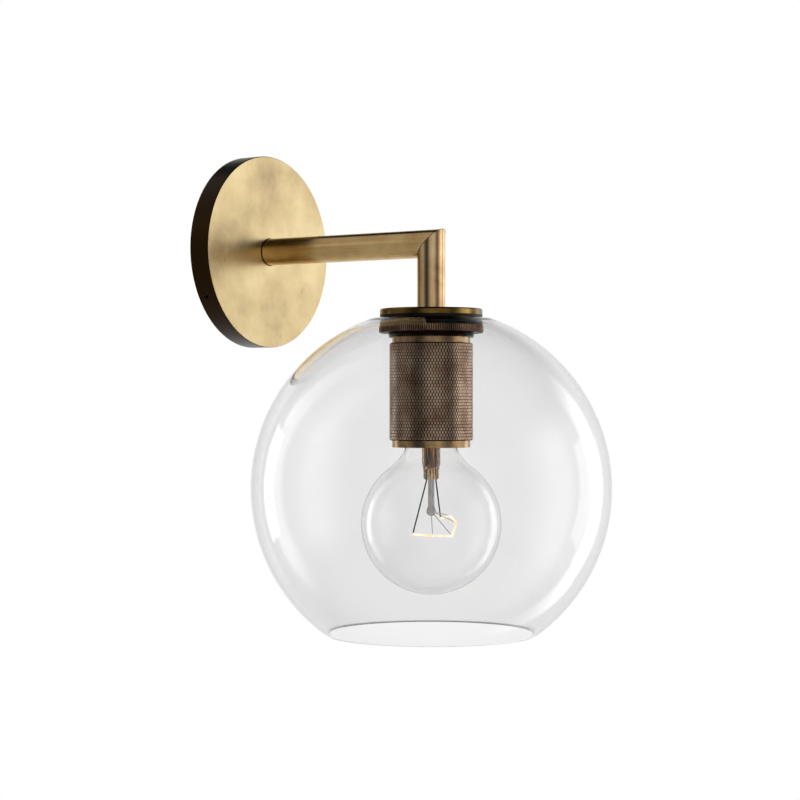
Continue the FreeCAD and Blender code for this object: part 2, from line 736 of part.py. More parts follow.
def make_retaining_ring():
    """Ring nut under the glass: chamfered edges and upright flutes all round its rim."""
    ring = new_body("retaining_ring", on_stem=True)
    bore = "collar_diameter / 2 + thread_clearance"
    edge = "ring_chamfer"
    revolve(ring, [
        (bore, RING_UNDER),
        ("ring_diameter / 2 - " + edge, RING_UNDER),
        ("ring_diameter / 2", RING_UNDER + " + " + edge),
        ("ring_diameter / 2", RING_TOP + " - " + edge),
        ("ring_diameter / 2 - " + edge, RING_TOP),
        (bore, RING_TOP),
    ])
    count = int(math.pi * value("ring_diameter") / value("flute_pitch"))
    flute = sketch_on(ring, "XY_Plane", "retaining_ring_flute")
    mouth = "flute_share * flute_pitch"
    add_outline(flute, [
        ("ring_diameter / 2 - flute_depth", "0"),
        ("ring_diameter / 2 + flute_depth", "-" + mouth),
        ("ring_diameter / 2 + flute_depth", mouth),
    ])
    cut = pocket(ring, flute, "flute")
    turn_pattern(ring, [cut], "Z_Axis", count, "flutes")


def globe_point(radius):
    """Where the sphere of a given radius crosses the ray from the globe's centre to its mouth's edge."""
    ratio = radius + " / (globe_diameter / 2)"
    drop = "sqrt(globe_diameter^2 - globe_mouth_diameter^2) / 2 * " + ratio
    return "globe_mouth_diameter / 2 * " + ratio, GLOBE_CENTRE + " - " + drop


def make_glass_globe():
    """Blown glass: a sphere, flat where the gaskets grip it, open underneath with a rounded rim."""
    globe = new_body("glass_globe", on_stem=True)
    outside = "(globe_diameter / 2)"
    inside = "(globe_diameter / 2 - globe_wall)"
    inner_land = "sqrt(" + inside + "^2 - (" + GLASS_UNDER + " - " + GLOBE_CENTRE + ")^2)"
    outer_mouth = globe_point(outside)
    inner_mouth = globe_point(inside)
    revolve(globe, [
        ("globe_hole_diameter / 2", GLASS_TOP),
        ("globe_hole_diameter / 2", GLASS_UNDER),
        (inner_land, GLASS_UNDER, inside, "right"),
        inner_mouth,
        (outer_mouth[0], outer_mouth[1], outside, "left"),
        ("globe_land_diameter / 2", GLASS_TOP),
    ])
    centre = value(GLOBE_CENTRE)
    soften(globe, "rim", "globe_rim_radius", lambda box: box.ZMax < centre)
    hole = value("globe_hole_diameter / 2 + thread_clearance")
    soften(globe, "shoulder", "globe_shoulder_radius", lambda box: box.ZMin > centre and box.XMax > hole)


# Socket cover and end ring --------------------------------------------------------------------------------

def make_knurled_cover():
    """Sleeve over the lampholder, screwed on the collar's neck. Its knurl stands out to this diameter."""
    cover = new_body("knurled_cover", on_stem=True)
    land = "cover_end_land"
    revolve(cover, [
        (COVER_BORE, COVER_END),
        ("cover_diameter / 2 - " + land, COVER_END),
        ("cover_diameter / 2", COVER_END + " + " + land),
        ("cover_diameter / 2", COVER_TOP + " - " + land),
        ("cover_diameter / 2 - " + land, COVER_TOP),
        (COVER_BORE, COVER_TOP),
    ])


def make_end_ring():
    """Ring in the cover's lower end. Its inner flange carries the lampholder."""
    ring = new_body("end_ring", on_stem=True)
    outside = COVER_BORE + " - thread_clearance"
    seat = "holder_diameter / 2 + holder_clearance"
    lip = COVER_END + " - end_ring_lip"
    revolve(ring, [
        (seat, lip),
        (outside, lip),
        (outside, COVER_END + " + end_ring_engagement"),
        (seat, COVER_END + " + end_ring_engagement"),
        (seat, HOLDER_UNDER),
        ("end_ring_bore / 2", HOLDER_UNDER),
        ("end_ring_bore / 2", HOLDER_UNDER + " - end_ring_flange"),
        (seat, HOLDER_UNDER + " - end_ring_flange"),
    ])


# Lampholder -----------------------------------------------------------------------------------------------

def make_lampholder_body():
    """Glazed insulator with the screw shell's bore below and holes for rivets and screws above."""
    holder = new_body("lampholder_body", on_stem=True)
    bore = SHELL_OUTSIDE + " + socket_clearance / 2"
    revolve(holder, [
        ("0", HOLDER_TOP),
        ("0", SOCKET_FLOOR),
        (bore, SOCKET_FLOOR),
        (bore, HOLDER_UNDER),
        ("holder_diameter / 2", HOLDER_UNDER),
        ("holder_diameter / 2", HOLDER_TOP),
    ])
    rivets = sketch_on(holder, "XY_Plane", "lampholder_rivet_holes")
    add_circle(rivets, "rivet_diameter / 2 + thread_clearance", "0", LIVE_RIVET)
    add_circle(rivets, "rivet_diameter / 2 + thread_clearance", "0", "-" + NEUTRAL_RIVET)
    pocket(holder, rivets, "rivet_holes")
    screws = sketch_on(holder, "XY_Plane", "lampholder_screw_holes", HOLDER_TOP)
    for side in ("", "-"):
        add_circle(screws, "terminal_screw_diameter / 2 + thread_clearance", "0", side + "terminal_offset")
        add_circle(screws, "bracket_screw_diameter / 2 + thread_clearance", side + BRACKET_SCREW_OFFSET, "0")
    pocket(holder, screws, "screw_holes", "max(terminal_screw_length, bracket_screw_length)")


def make_screw_shell():
    """Brass shell that takes the lamp's base, turned in at its top to a contact flange."""
    shell = new_body("screw_shell", on_stem=True)
    revolve(shell, [
        ("socket_flange_bore / 2", SOCKET_FLOOR),
        ("socket_flange_bore / 2", SOCKET_FLOOR + " - socket_shell_wall"),
        (SHELL_BORE, SOCKET_FLOOR + " - socket_shell_wall"),
        (SHELL_BORE, SOCKET_FLOOR + " - socket_shell_length"),
        (SHELL_OUTSIDE, SOCKET_FLOOR + " - socket_shell_length"),
        (SHELL_OUTSIDE, SOCKET_FLOOR),
    ])
    hole = sketch_on(shell, "XY_Plane", "screw_shell_rivet_hole")
    add_circle(hole, "rivet_diameter / 2 + thread_clearance", "0", "-" + NEUTRAL_RIVET)
    pocket(shell, hole, "rivet_hole")


def make_centre_contact():
    """Springy strip, riveted to the insulator's floor and bent down to the lamp's tip."""
    contact = new_body("centre_contact", on_stem=True)
    low = LAMP_TIP + " + contact_gap"
    high = SOCKET_FLOOR
    heel = LIVE_RIVET + " + rivet_head / 2"
    knee = LIVE_RIVET + " - rivet_head / 2"
    shift = "0.4 * contact_strip"
    strip = sketch_on(contact, "YZ_Plane", "centre_contact_strip")
    add_outline(strip, [
        (heel, high),
        (knee, high),
        ("contact_strip", low + " + contact_strip"),
        ("-contact_width / 2", low + " + contact_strip"),
        ("-contact_width / 2", low),
        ("contact_strip - " + shift, low),
        (knee + " - " + shift, high + " - contact_strip"),
        (heel, high + " - contact_strip"),
    ])
    pad(contact, strip, "contact_width", symmetric=True)
    hole = sketch_on(contact, "XY_Plane", "centre_contact_rivet_hole")
    add_circle(hole, "rivet_diameter / 2 + thread_clearance", "0", LIVE_RIVET)
    pocket(contact, hole, "rivet_hole")


def make_terminals():
    """Two plates on the insulator, each with a rivet down to its contact and a screw for its wire."""
    plates = new_body("terminal_plates", on_stem=True)
    outline = sketch_on(plates, "XY_Plane", "terminal_plates_outline", HOLDER_TOP)
    half = "terminal_width / 2"
    far = "terminal_offset + terminal_screw_head / 2"
    margin = "rivet_diameter / 2 + terminal_margin"
    add_outline(outline, rectangle("-" + half, half, LIVE_RIVET + " - (" + margin + ")", far))
    add_outline(outline, rectangle("-" + half, half, "-(" + far + ")", "-" + NEUTRAL_RIVET + " + " + margin))
    rivet_places = [LIVE_RIVET, "-" + NEUTRAL_RIVET]
    for place in rivet_places:
        add_circle(outline, "rivet_diameter / 2 + thread_clearance", "0", place)
    for side in ("", "-"):
        add_circle(outline, "terminal_screw_diameter / 2 + thread_clearance", "0", side + "terminal_offset")
    pad(plates, outline, "terminal_thickness")
    rivets = new_body("terminal_rivets", on_stem=True)
    head_top = SOCKET_FLOOR + " - socket_shell_wall"
    heads = sketch_on(rivets, "XY_Plane", "terminal_rivet_heads", head_top + " - rivet_head_height")
    shanks = sketch_on(rivets, "XY_Plane", "terminal_rivet_shanks", head_top + " - rivet_head_height")
    for place in rivet_places:
        add_circle(heads, "rivet_head / 2 - thread_clearance", "0", place)
        add_circle(shanks, "rivet_diameter / 2", "0", place)
    pad(rivets, heads, "rivet_head_height", "heads")
    pad(rivets, shanks, TERMINAL_TOP + " - (" + head_top + " - rivet_head_height)", "shanks")
    screws = new_body("terminal_screws", on_stem=True)
    head_under = TERMINAL_TOP + " + wire_diameter + 2 * thread_clearance"
    foot = HOLDER_TOP + " - terminal_screw_length + screw_foot_gap"
    stems = sketch_on(screws, "XY_Plane", "terminal_screw_shanks", foot)
    caps = sketch_on(screws, "XY_Plane", "terminal_screw_caps", head_under)
    slots = sketch_on(screws, "XY_Plane", "terminal_screw_slots", head_under + " + screw_head_height")
    for side in ("", "-"):
        place = side + "terminal_offset"
        add_circle(stems, "terminal_screw_diameter / 2", "0", place)
        add_circle(caps, "terminal_screw_head / 2", "0", place)
        add_outline(slots, rectangle("-terminal_screw_head / 2", "terminal_screw_head / 2",
                                     place + " - driver_slot_width / 2", place + " + driver_slot_width / 2"))
    pad(screws, stems, head_under + " - (" + foot + ") + screw_head_height / 3", "shanks")
    pad(screws, caps, "screw_head_height", "caps")
    pocket(screws, slots, "slots", "screw_head_height / 2")


def make_holder_bracket():
    """Steel strap under the collar's roof, with two legs and feet that hold the insulator."""
    bracket = new_body("holder_bracket", on_stem=True)
    strip = "bracket_strip"
    side = "bracket_span / 2"
    inner = "(bracket_span / 2 - bracket_strip)"
    toe = "(bracket_span / 2 - bracket_strip - bracket_foot)"
    strap = sketch_on(bracket, "XZ_Plane", "holder_bracket_strap")
    add_outline(strap, [
        ("-" + side, ROOF_UNDER),
        ("-" + side, HOLDER_TOP),
        ("-" + toe, HOLDER_TOP),
        ("-" + toe, HOLDER_TOP + " + " + strip),
        ("-" + inner, HOLDER_TOP + " + " + strip),
        ("-" + inner, STRAP_UNDER),
        (inner, STRAP_UNDER),
        (inner, HOLDER_TOP + " + " + strip),
        (toe, HOLDER_TOP + " + " + strip),
        (toe, HOLDER_TOP),
        (side, HOLDER_TOP),
        (side, ROOF_UNDER),
    ])
    pad(bracket, strap, "bracket_width", symmetric=True)
    entry = sketch_on(bracket, "XY_Plane", "holder_bracket_entry")
    add_circle(entry, NIPPLE_HOLE)
    for hand in ("", "-"):
        add_circle(entry, "bracket_screw_diameter / 2 + hole_clearance", hand + BRACKET_SCREW_OFFSET, "0")
    pocket(bracket, entry, "holes")
    screws = new_body("bracket_screws", on_stem=True)
    foot = HOLDER_TOP + " - bracket_screw_length + screw_foot_gap"
    head_under = HOLDER_TOP + " + " + strip
    stems = sketch_on(screws, "XY_Plane", "bracket_screw_shanks", foot)
    caps = sketch_on(screws, "XY_Plane", "bracket_screw_caps", head_under)
    for hand in ("", "-"):
        add_circle(stems, "bracket_screw_diameter / 2", hand + BRACKET_SCREW_OFFSET, "0")
        add_circle(caps, "bracket_screw_head / 2", hand + BRACKET_SCREW_OFFSET, "0")
    pad(screws, stems, head_under + " - (" + foot + ") + screw_head_height / 3", "shanks")
    pad(screws, caps, "screw_head_height", "caps")


# Wires ----------------------------------------------------------------------------------------------------

def make_supply_wire(name, side, pole):
    """One insulated wire from its pole, through arm and stem, to its terminal screw."""
    inset = side + "wire_spread / 2"
    block_top = "-block_drop"
    screw_gap = "(terminal_offset - terminal_screw_diameter / 2 - thread_clearance)"
    level = TERMINAL_TOP + " + wire_diameter / 2 + thread_clearance"
    towards = "-arm_reach - " if side == "" else "-arm_reach + "
    points = [
        at(pole, "-" + WIRE_PLANE, block_top + " - (block_length - barrel_length) / 2 - barrel_length / 3"),
        at(pole, "-" + WIRE_PLANE, block_top + " + wire_lead_out"),
        at(inset, "-" + WIRE_PLANE, "-wire_cross_drop"),
        at(inset, "-" + WIRE_PLANE, "0"),
        at(inset, "-arm_reach", "0"),
        at(inset, "-arm_reach", level),
        at(inset, towards + screw_gap, level),
    ]
    radii = [value(name_of) for name_of in (
        "small_bend_radius", "small_bend_radius", "canopy_bend_radius", "elbow_bend_radius",
        "holder_bend_radius")]
    feature(name, [bent_wire(points, radii, value("wire_diameter"))])


def make_earth_wire():
    """Short wire from the third pole to the screw in the plate."""
    pole = pole_positions()[-1]
    plate_level = "-(plate_thickness + wire_diameter / 2 + thread_clearance)"
    foot = "-earth_screw_drop - earth_screw_diameter / 2 - thread_clearance"
    points = [
        at(pole, "-" + WIRE_PLANE, "-block_drop - (block_length - barrel_length) / 2 - barrel_length / 3"),
        at(pole, "-" + WIRE_PLANE, "-block_drop + wire_lead_out"),
        at(pole, plate_level, foot + " - earth_wire_straight"),
        at(pole, plate_level, foot),
    ]
    radii = [value("small_bend_radius")] * 2
    feature("earth_wire", [bent_wire(points, radii, value("wire_diameter"))])


# Lamp -----------------------------------------------------------------------------------------------------

def turned_with_lamp(body):
    """Turns a body of the lamp's inside about the stem's axis by the angle that the lamp is screwed to."""
    body.Placement.Rotation = FreeCAD.Rotation(FreeCAD.Vector(0, 0, 1), value("lamp_turn"))
    body.setExpression("Placement.Rotation.Angle", cells("lamp_turn"))


def lamp_placement():
    turn = FreeCAD.Rotation(FreeCAD.Vector(0, 0, 1), value("lamp_turn"))
    return FreeCAD.Placement(at("0", "-arm_reach", "0"), turn)


def make_lamp_envelope():
    """Round glass bulb that flares out of a narrow neck."""
    envelope = new_body("lamp_envelope", on_stem=True)
    ball = "(lamp_diameter / 2)"
    neck = "(lamp_neck_diameter / 2)"
    wall = "lamp_wall"
    flare_top = "(" + NECK_TOP + " - lamp_neck_straight)"
    rise = "(" + flare_top + " - " + LAMP_CENTRE + ")"
    flare = "((" + rise + "^2 - " + ball + "^2 + " + neck + "^2) / (lamp_diameter - lamp_neck_diameter))"
    share = "((" + neck + " + " + flare + ") / (" + ball + " + " + flare + "))"
    lift = "(" + rise + " / (" + ball + " + " + flare + "))"
    inner = "(" + ball + " - " + wall + ")"
    revolve(envelope, [
        ("0", LAMP_CENTRE + " - " + ball, ball, "left"),
        (ball + " * " + share, LAMP_CENTRE + " + " + ball + " * " + lift, flare, "right"),
        (neck, flare_top),
        (neck, NECK_TOP),
        (neck + " - " + wall, NECK_TOP),
        (neck + " - " + wall, flare_top, flare + " + " + wall, "left"),
        (inner + " * " + share, LAMP_CENTRE + " + " + inner + " * " + lift, inner, "right"),
        ("0", LAMP_CENTRE + " - " + inner),
    ])


def make_lamp_base():
    """Screw shell, glass insulator and tip contact."""
    insulator_top = LAMP_TIP + " - tip_height"
    shell_top = insulator_top + " - base_insulator_height"
    inner_end = shell_top + " - base_insulator_sink"
    shell = new_body("lamp_base_shell", on_stem=True)
    revolve(shell, [
        (BASE_BORE, shell_top),
        ("base_diameter / 2", shell_top),
        ("base_diameter / 2", LAMP_TIP + " - base_skirt"),
        (BASE_BORE, LAMP_TIP + " - base_skirt"),
    ])
    insulator = new_body("lamp_base_insulator", on_stem=True)
    revolve(insulator, [
        ("0", insulator_top),
        ("0", inner_end),
        (BASE_BORE, inner_end),
        (BASE_BORE, shell_top),
        ("tip_diameter / 2 + tip_margin", insulator_top),
    ])
    tip = new_body("lamp_tip_contact", on_stem=True)
    revolve(tip, [
        ("0", insulator_top),
        ("tip_diameter / 2", insulator_top),
        ("tip_diameter / 2 - tip_height", LAMP_TIP),
        ("0", LAMP_TIP),
    ])


def make_lamp_mount():
    """Glass stem: flared where it is sealed to the neck, pressed flat round the two leads below."""
    mount = new_body("lamp_mount", on_stem=True)
    turned_with_lamp(mount)
    flare = "(lamp_neck_diameter / 2 - lamp_wall - solder_clearance)"
    outside = "(mount_diameter / 2)"
    inside = "(mount_diameter / 2 - mount_wall)"
    narrow = "(" + NECK_TOP + " - mount_flare_length)"
    shoulder = "(" + PRESS_END + " + press_length)"
    blend_low = shoulder + " - press_blend"
    blend_high = shoulder + " + press_blend"
    below = PRESS_END + " - press_edge"
    revolve(mount, [
        (flare, NECK_TOP),
        (flare + " - mount_wall", NECK_TOP),
        (inside, narrow),
        (inside, shoulder),
        ("0", shoulder),
        ("0", PRESS_END),
        ("press_width / 2 - press_edge", PRESS_END),
        ("press_width / 2", PRESS_END + " + press_edge"),
        ("press_width / 2", blend_low),
        (outside, blend_high),
        (outside, narrow),
        (flare, NECK_TOP + " - mount_wall"),
    ])
    squeeze = sketch_on(mount, "YZ_Plane", "lamp_mount_squeeze")
    for side in ("", "-"):
        add_outline(squeeze, [
            (side + "press_thickness / 2", below),
            (side + "press_thickness / 2", blend_low),
            (side + "mount_diameter", blend_high),
            (side + "mount_diameter", below),
        ])
    pocket(mount, squeeze, "pressed")
    ways = sketch_on(mount, "XY_Plane", "lamp_mount_lead_ways")
    for side in ("", "-"):
        add_circle(ways, "lead_diameter / 2 + solder_clearance", side + "lead_spread / 2", "0")
    pocket(mount, ways, "lead_ways")


def make_lamp_rod():
    """Glass rod under the press, ending in the button that the support wires are set in."""
    rod = new_body("lamp_rod", on_stem=True)
    turned_with_lamp(rod)
    end = "(" + PRESS_END + " - rod_length)"
    button = "(button_diameter / 2)"
    revolve(rod, [
        ("0", PRESS_END),
        ("0", end + " - " + button, button, "left"),
        (button, end),
        ("rod_diameter / 2", end + " + " + button),
        ("rod_diameter / 2", PRESS_END),
    ])


# The filament's corners and the leads' ends: across, away from the front, and up from the lamp's centre,
# in shares of the ball's radius
FILAMENT = [
    (-0.259, -0.076, -0.141),
    (0.015, -0.239, -0.151),
    (0.292, -0.151, -0.161),
    (0.358, 0.013, 0.020),
    (0.277, 0.151, 0.106),
    (0.136, 0.189, 0.071),
]


def lamp_points(places):
    centre = at("0", "0", LAMP_CENTRE)
    return [centre + FreeCAD.Vector(*place) * value("lamp_diameter / 2") for place in places]


def straight_rod(start, end, diameter):
    return Part.makeCylinder(diameter / 2, (end - start).Length, start, end - start)


def make_lamp_wires():
    """Two leads through the press, four supports from the button, and the filament between them."""
    corners = lamp_points(FILAMENT)
    lead = value("lead_diameter")
    thin = value("filament_diameter")
    gap = (lead + thin) / 2 + value("thread_clearance")
    leads = []
    for side, tip in ((-1, corners[0]), (1, corners[-1])):
        across = side * value("lead_spread") / 2
        points = [
            FreeCAD.Vector(across, 0, value(NECK_TOP + " - mount_flare_length")),
            FreeCAD.Vector(across, 0, value(PRESS_END + " - lead_straight")),
            tip + FreeCAD.Vector(0, 0, gap),
        ]
        leads.append(bent_wire(points, [value("lead_bend_radius")], lead))
    feature("lamp_leads", leads, lamp_placement())
    bends = [value("filament_bend_radius")] * (len(corners) - 2)
    feature("filament", [bent_wire(corners, bends, thin)], lamp_placement())
    button = at("0", "0", PRESS_END + " - rod_length")
    skin = value("button_diameter") / 2
    wire = value("support_diameter")
    supports = []
    for corner in corners[1:-1]:
        hook = corner + (button - corner).normalize() * value("support_shortfall")
        supports.append(straight_rod(button + (corner - button).normalize() * skin, hook, wire))
    feature("filament_supports", supports, lamp_placement())


# The whole sconce -----------------------------------------------------------------------------------------

def make_everything():
    make_wall_plate()
    make_canopy()
    make_canopy_set_screws()
    make_earth_screw()
    make_terminal_block()
    make_block_barrels()
    make_block_screws()
    make_block_fixing_screw()
    make_arm_tube()
    make_drop_tube()
    make_bushes_and_nipples()
    make_arm_fixings()
    make_clamp_disc()
    make_gaskets()
    make_threaded_collar()
    make_retaining_ring()
    make_glass_globe()
    make_knurled_cover()
    make_end_ring()
    make_lampholder_body()
    make_screw_shell()
    make_centre_contact()
    make_terminals()
    make_holder_bracket()
    poles = pole_positions()
    make_supply_wire("live_wire", "-", poles[0])
    make_supply_wire("neutral_wire", "", poles[1])
    make_earth_wire()
    make_lamp_envelope()
    make_lamp_base()
    make_lamp_mount()
    make_lamp_rod()
    make_lamp_wires()


def check_and_write():
    doc.recompute()
    faults = [item.Name for item in doc.Objects if {"Invalid", "Error"} & set(item.State)]
    pieces = [item for item in doc.Objects if item.TypeId == "PartDesign::Body"]
    pieces += [item for item in doc.Objects if item.TypeId == "Part::Feature" and not item.getParentGroup()]
    for piece in pieces:
        if piece.Shape.isNull() or not piece.Shape.isValid() or not piece.Shape.Solids:
            faults.append(piece.Label)
    if faults:
        raise RuntimeError("failed: " + ", ".join(faults))
    os.makedirs("parts", exist_ok=True)
    for piece in pieces:
        piece.Shape.exportStep(os.path.join("parts", piece.Label + ".step"))
    print("%d pieces written" % len(pieces))


make_everything()
check_and_write()
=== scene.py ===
import math

import bmesh
import bpy
from mathutils import Matrix, Vector


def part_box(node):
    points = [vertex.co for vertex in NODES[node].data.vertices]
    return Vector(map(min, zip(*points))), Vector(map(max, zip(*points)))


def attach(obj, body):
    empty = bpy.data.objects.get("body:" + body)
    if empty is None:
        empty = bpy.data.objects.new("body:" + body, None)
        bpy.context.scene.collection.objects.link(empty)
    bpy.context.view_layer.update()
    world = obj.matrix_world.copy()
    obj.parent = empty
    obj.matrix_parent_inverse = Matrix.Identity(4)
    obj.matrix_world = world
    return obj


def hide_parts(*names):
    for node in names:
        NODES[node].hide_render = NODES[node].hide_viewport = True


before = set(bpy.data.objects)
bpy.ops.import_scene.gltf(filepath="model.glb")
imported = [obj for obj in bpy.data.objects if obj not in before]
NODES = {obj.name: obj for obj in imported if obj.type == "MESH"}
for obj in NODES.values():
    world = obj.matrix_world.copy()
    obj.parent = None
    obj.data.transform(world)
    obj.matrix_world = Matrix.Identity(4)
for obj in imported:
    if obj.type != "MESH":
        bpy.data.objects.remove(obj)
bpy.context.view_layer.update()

# Globe wall sconce in aged brass: canopy, mitred tube arm, knurled socket cover, and a clear glass
# globe round a clear round lamp.
#
# Metres, in the frame of the solids. The stem, socket, globe and lamp share one upright axis.

MM = 0.001
STEM = Vector((0.0, -129.5 * MM, 0.0))
bpy.context.scene.view_settings.view_transform = "Standard"


def node_mm(name):
    """A solid's lowest and highest corners in millimetres."""
    low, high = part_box(name)
    return Vector(low) / MM, Vector(high) / MM


# Materials ---------------------------------------------------------------------------------------
#
# Brush lines, tool marks and moulded skins are drawn coarser than the real ones, which are too fine
# to show.

def linear(hex_colour):
    """A colour written as sRGB hex, in the linear values that the shader takes."""
    channels = [int(hex_colour[i:i + 2], 16) / 255 for i in (1, 3, 5)]
    return [c / 12.92 if c <= 0.04045 else ((c + 0.055) / 1.055) ** 2.4 for c in channels] + [1.0]


def add(tree, kind, links=None, **settings):
    """Adds a node. Settings name its properties or, under inputs, its sockets. Links feed them."""
    node = tree.nodes.new("ShaderNode" + kind)
    for socket, value in settings.pop("inputs", {}).items():
        node.inputs[socket].default_value = value
    for name, value in settings.items():
        setattr(node, name, value)
    for socket, source in (links or {}).items():
        tree.links.new(source, node.inputs[socket])
    return node


def new_material(name):
    """An empty material, its node tree and its output node."""
    material = bpy.data.materials.new(name)
    material.use_nodes = True
    tree = material.node_tree
    tree.nodes.clear()
    return material, tree, add(tree, "OutputMaterial")


def ramp(tree, source, stops):
    """A colour from a 0 to 1 value. Each stop is (place, hex colour)."""
    node = add(tree, "ValToRGB", {"Fac": source})
    node.color_ramp.elements[0].position = stops[0][0]
    node.color_ramp.elements[0].color = linear(stops[0][1])
    node.color_ramp.elements[1].position = stops[-1][0]
    node.color_ramp.elements[1].color = linear(stops[-1][1])
    for place, colour in stops[1:-1]:
        node.color_ramp.elements.new(place).color = linear(colour)
    return node.outputs["Color"]


def noise(tree, place, size_mm, detail=4.0, roughness=0.55, stretch=(1, 1, 1)):
    """Noise whose blotches are about size_mm across, and longer where stretch is under 1."""
    spread = add(tree, "Mapping", {"Vector": place}, inputs={"Scale": stretch})
    node = add(tree, "TexNoise", {"Vector": spread.outputs["Vector"]},
               inputs={"Scale": 1 / (size_mm * MM), "Detail": detail, "Roughness": roughness})
    return node.outputs["Fac"]


def from_noise(tree, source, low, high):
    """Noise stretched over a span of values. It seldom leaves 0.3 to 0.7."""
    node = add(tree, "MapRange", {"Value": source},
               inputs={"From Min": 0.3, "From Max": 0.7, "To Min": low, "To Max": high})
    return node.outputs["Result"]


def bumped(tree, source, strength, height_mm):
    """Relief in the surface, as high as the noise says."""
    node = add(tree, "Bump", {"Height": source},
               inputs={"Strength": strength, "Distance": height_mm * MM})
    return node.outputs["Normal"]


def put_surface(tree, output, links, inputs):
    """Gives the material one principled surface."""
    surface = add(tree, "BsdfPrincipled", links, inputs=inputs)
    tree.links.new(surface.outputs["BSDF"], output.inputs["Surface"])


def radius_share(tree, place, centre, flatten, none_mm, full_mm):
    """0 at one radius about an axis and 1 at the other. Flatten zeroes the axis's own way."""
    shift = [-c * f for c, f in zip(centre, flatten)]
    across = add(tree, "Mapping", {"Vector": place}, inputs={"Location": shift, "Scale": flatten})
    distance = add(tree, "VectorMath", {0: across.outputs["Vector"]}, operation="LENGTH")
    return add(tree, "MapRange", {"Value": distance.outputs["Value"]},
               inputs={"From Min": none_mm * MM, "From Max": full_mm * MM}).outputs["Result"]


def aged_brass(name, tones, patina_mm, roughness, grain, grain_mm, streaks=0.15, patina_and_shade=None,
               about=None):
    """Aged brass: cast or drawn, brushed, browned in a bath and rubbed back, then waxed.

    The bath leaves soft brown clouds. The brush leaves fine lines, which streak the colour a little
    and spread the highlights. The darker colour is the brown where the rubbing didn't reach, and
    painted shade on the canopy's rim and the collar's thread. About says where: an axis, the radius
    at which the darker colour is whole and the radius at which it ends.
    """
    material, tree, output = new_material(name)
    place = add(tree, "TexCoord").outputs["Object"]
    clouds = noise(tree, place, patina_mm)
    lines = noise(tree, place, grain_mm, detail=3.0, stretch=grain)
    mixed = add(tree, "Mix", {"A": clouds, "B": lines}, data_type="FLOAT",
                inputs={"Factor": streaks})
    colour = ramp(tree, mixed.outputs["Result"], tones)
    if patina_and_shade:
        share = radius_share(tree, place, *about)
        dark = add(tree, "Mix", {0: share, 7: colour}, data_type="RGBA", inputs={6: linear(patina_and_shade)})
        colour = dark.outputs[2]
    put_surface(tree, output, {
        "Base Color": colour,
        "Roughness": from_noise(tree, lines, roughness - 0.04, roughness + 0.06),
        "Normal": bumped(tree, lines, 0.2, 0.012),
    }, {"Metallic": 1.0})
    return material


def plated_metal(name, tones, grain_mm, roughness):
    """Plated or plain turned metal: even in colour, with faint spangle and fine tool marks."""
    material, tree, output = new_material(name)
    place = add(tree, "TexCoord").outputs["Object"]
    grain = noise(tree, place, grain_mm, detail=5.0)
    colour = ramp(tree, grain, tones)
    rough = from_noise(tree, grain, roughness - 0.05, roughness + 0.1)
    marks = noise(tree, place, 0.3, detail=2.0, stretch=(0.1, 0.1, 1))
    put_surface(tree, output, {
        "Base Color": colour, "Roughness": rough, "Normal": bumped(tree, marks, 0.1, 0.02),
    }, {"Metallic": 1.0})
    return material


def moulded(name, tones, grain_mm, roughness, bump_mm, coat=0.0, shine=0.5):
    """Rubber, plastic or glazed ceramic: mottled colour over a fine moulded or fired skin."""
    material, tree, output = new_material(name)
    place = add(tree, "TexCoord").outputs["Object"]
    colour = ramp(tree, noise(tree, place, grain_mm, detail=4.0), tones)
    skin = noise(tree, place, 0.35, detail=3.0)
    put_surface(tree, output, {
        "Base Color": colour,
        "Roughness": from_noise(tree, skin, roughness - 0.05, roughness + 0.08),
        "Normal": bumped(tree, skin, 0.3, bump_mm),
    }, {"Coat Weight": coat, "Coat Roughness": 0.05, "Specular IOR Level": shine})
    return material


def clear_glass(name, tint, wave_mm, wave_height_mm, index=1.5, roughness=0.0, stretch=(1, 1, 1)):
    """Clear glass, blown, drawn or pressed. It waves a little, so highlights have soft ends."""
    material, tree, output = new_material(name)
    place = add(tree, "TexCoord").outputs["Object"]
    waves = noise(tree, place, wave_mm, detail=1.0, stretch=stretch)
    put_surface(tree, output, {
        "Base Color": ramp(tree, waves, [(0.4, tint[0]), (0.6, tint[1])]),
        "Normal": bumped(tree, waves, 0.3, wave_height_mm),
    }, {"Transmission Weight": 1.0, "Roughness": roughness, "IOR": index})
    return material


def glowing_wire(name, tones, strength):
    """Tungsten at working heat: a bright even glow, a little hotter in some turns."""
    material, tree, output = new_material(name)
    place = add(tree, "TexCoord").outputs["Object"]
    put_surface(tree, output, {
        "Emission Color": ramp(tree, noise(tree, place, 2.5, detail=2.0), tones),
    }, {"Base Color": linear("#6B615A"), "Metallic": 1.0, "Roughness": 0.4,
        "Emission Strength": strength})
    return material


# An axis, as a point on it and the ways that lie across it.
ROUND_STEM = STEM, (1.0, 1.0, 0.0)
ROUND_ARM = Vector(), (1.0, 0.0, 1.0)

# Spun sheet brass, brushed upright on its face. Its rim is painted dark: painted shade, for the
# dark room that the rim mirrors.
CANOPY_BRASS = aged_brass(
    "aged_brass_canopy", [(0.3, "#A99370"), (0.47, "#C6B184"), (0.62, "#D5C194")],
    patina_mm=34.0, roughness=0.31, grain=(1, 1, 0.12), grain_mm=0.6, streaks=0.07,
    patina_and_shade="#2F1F0A", about=(*ROUND_ARM, 56.85, 56.6))
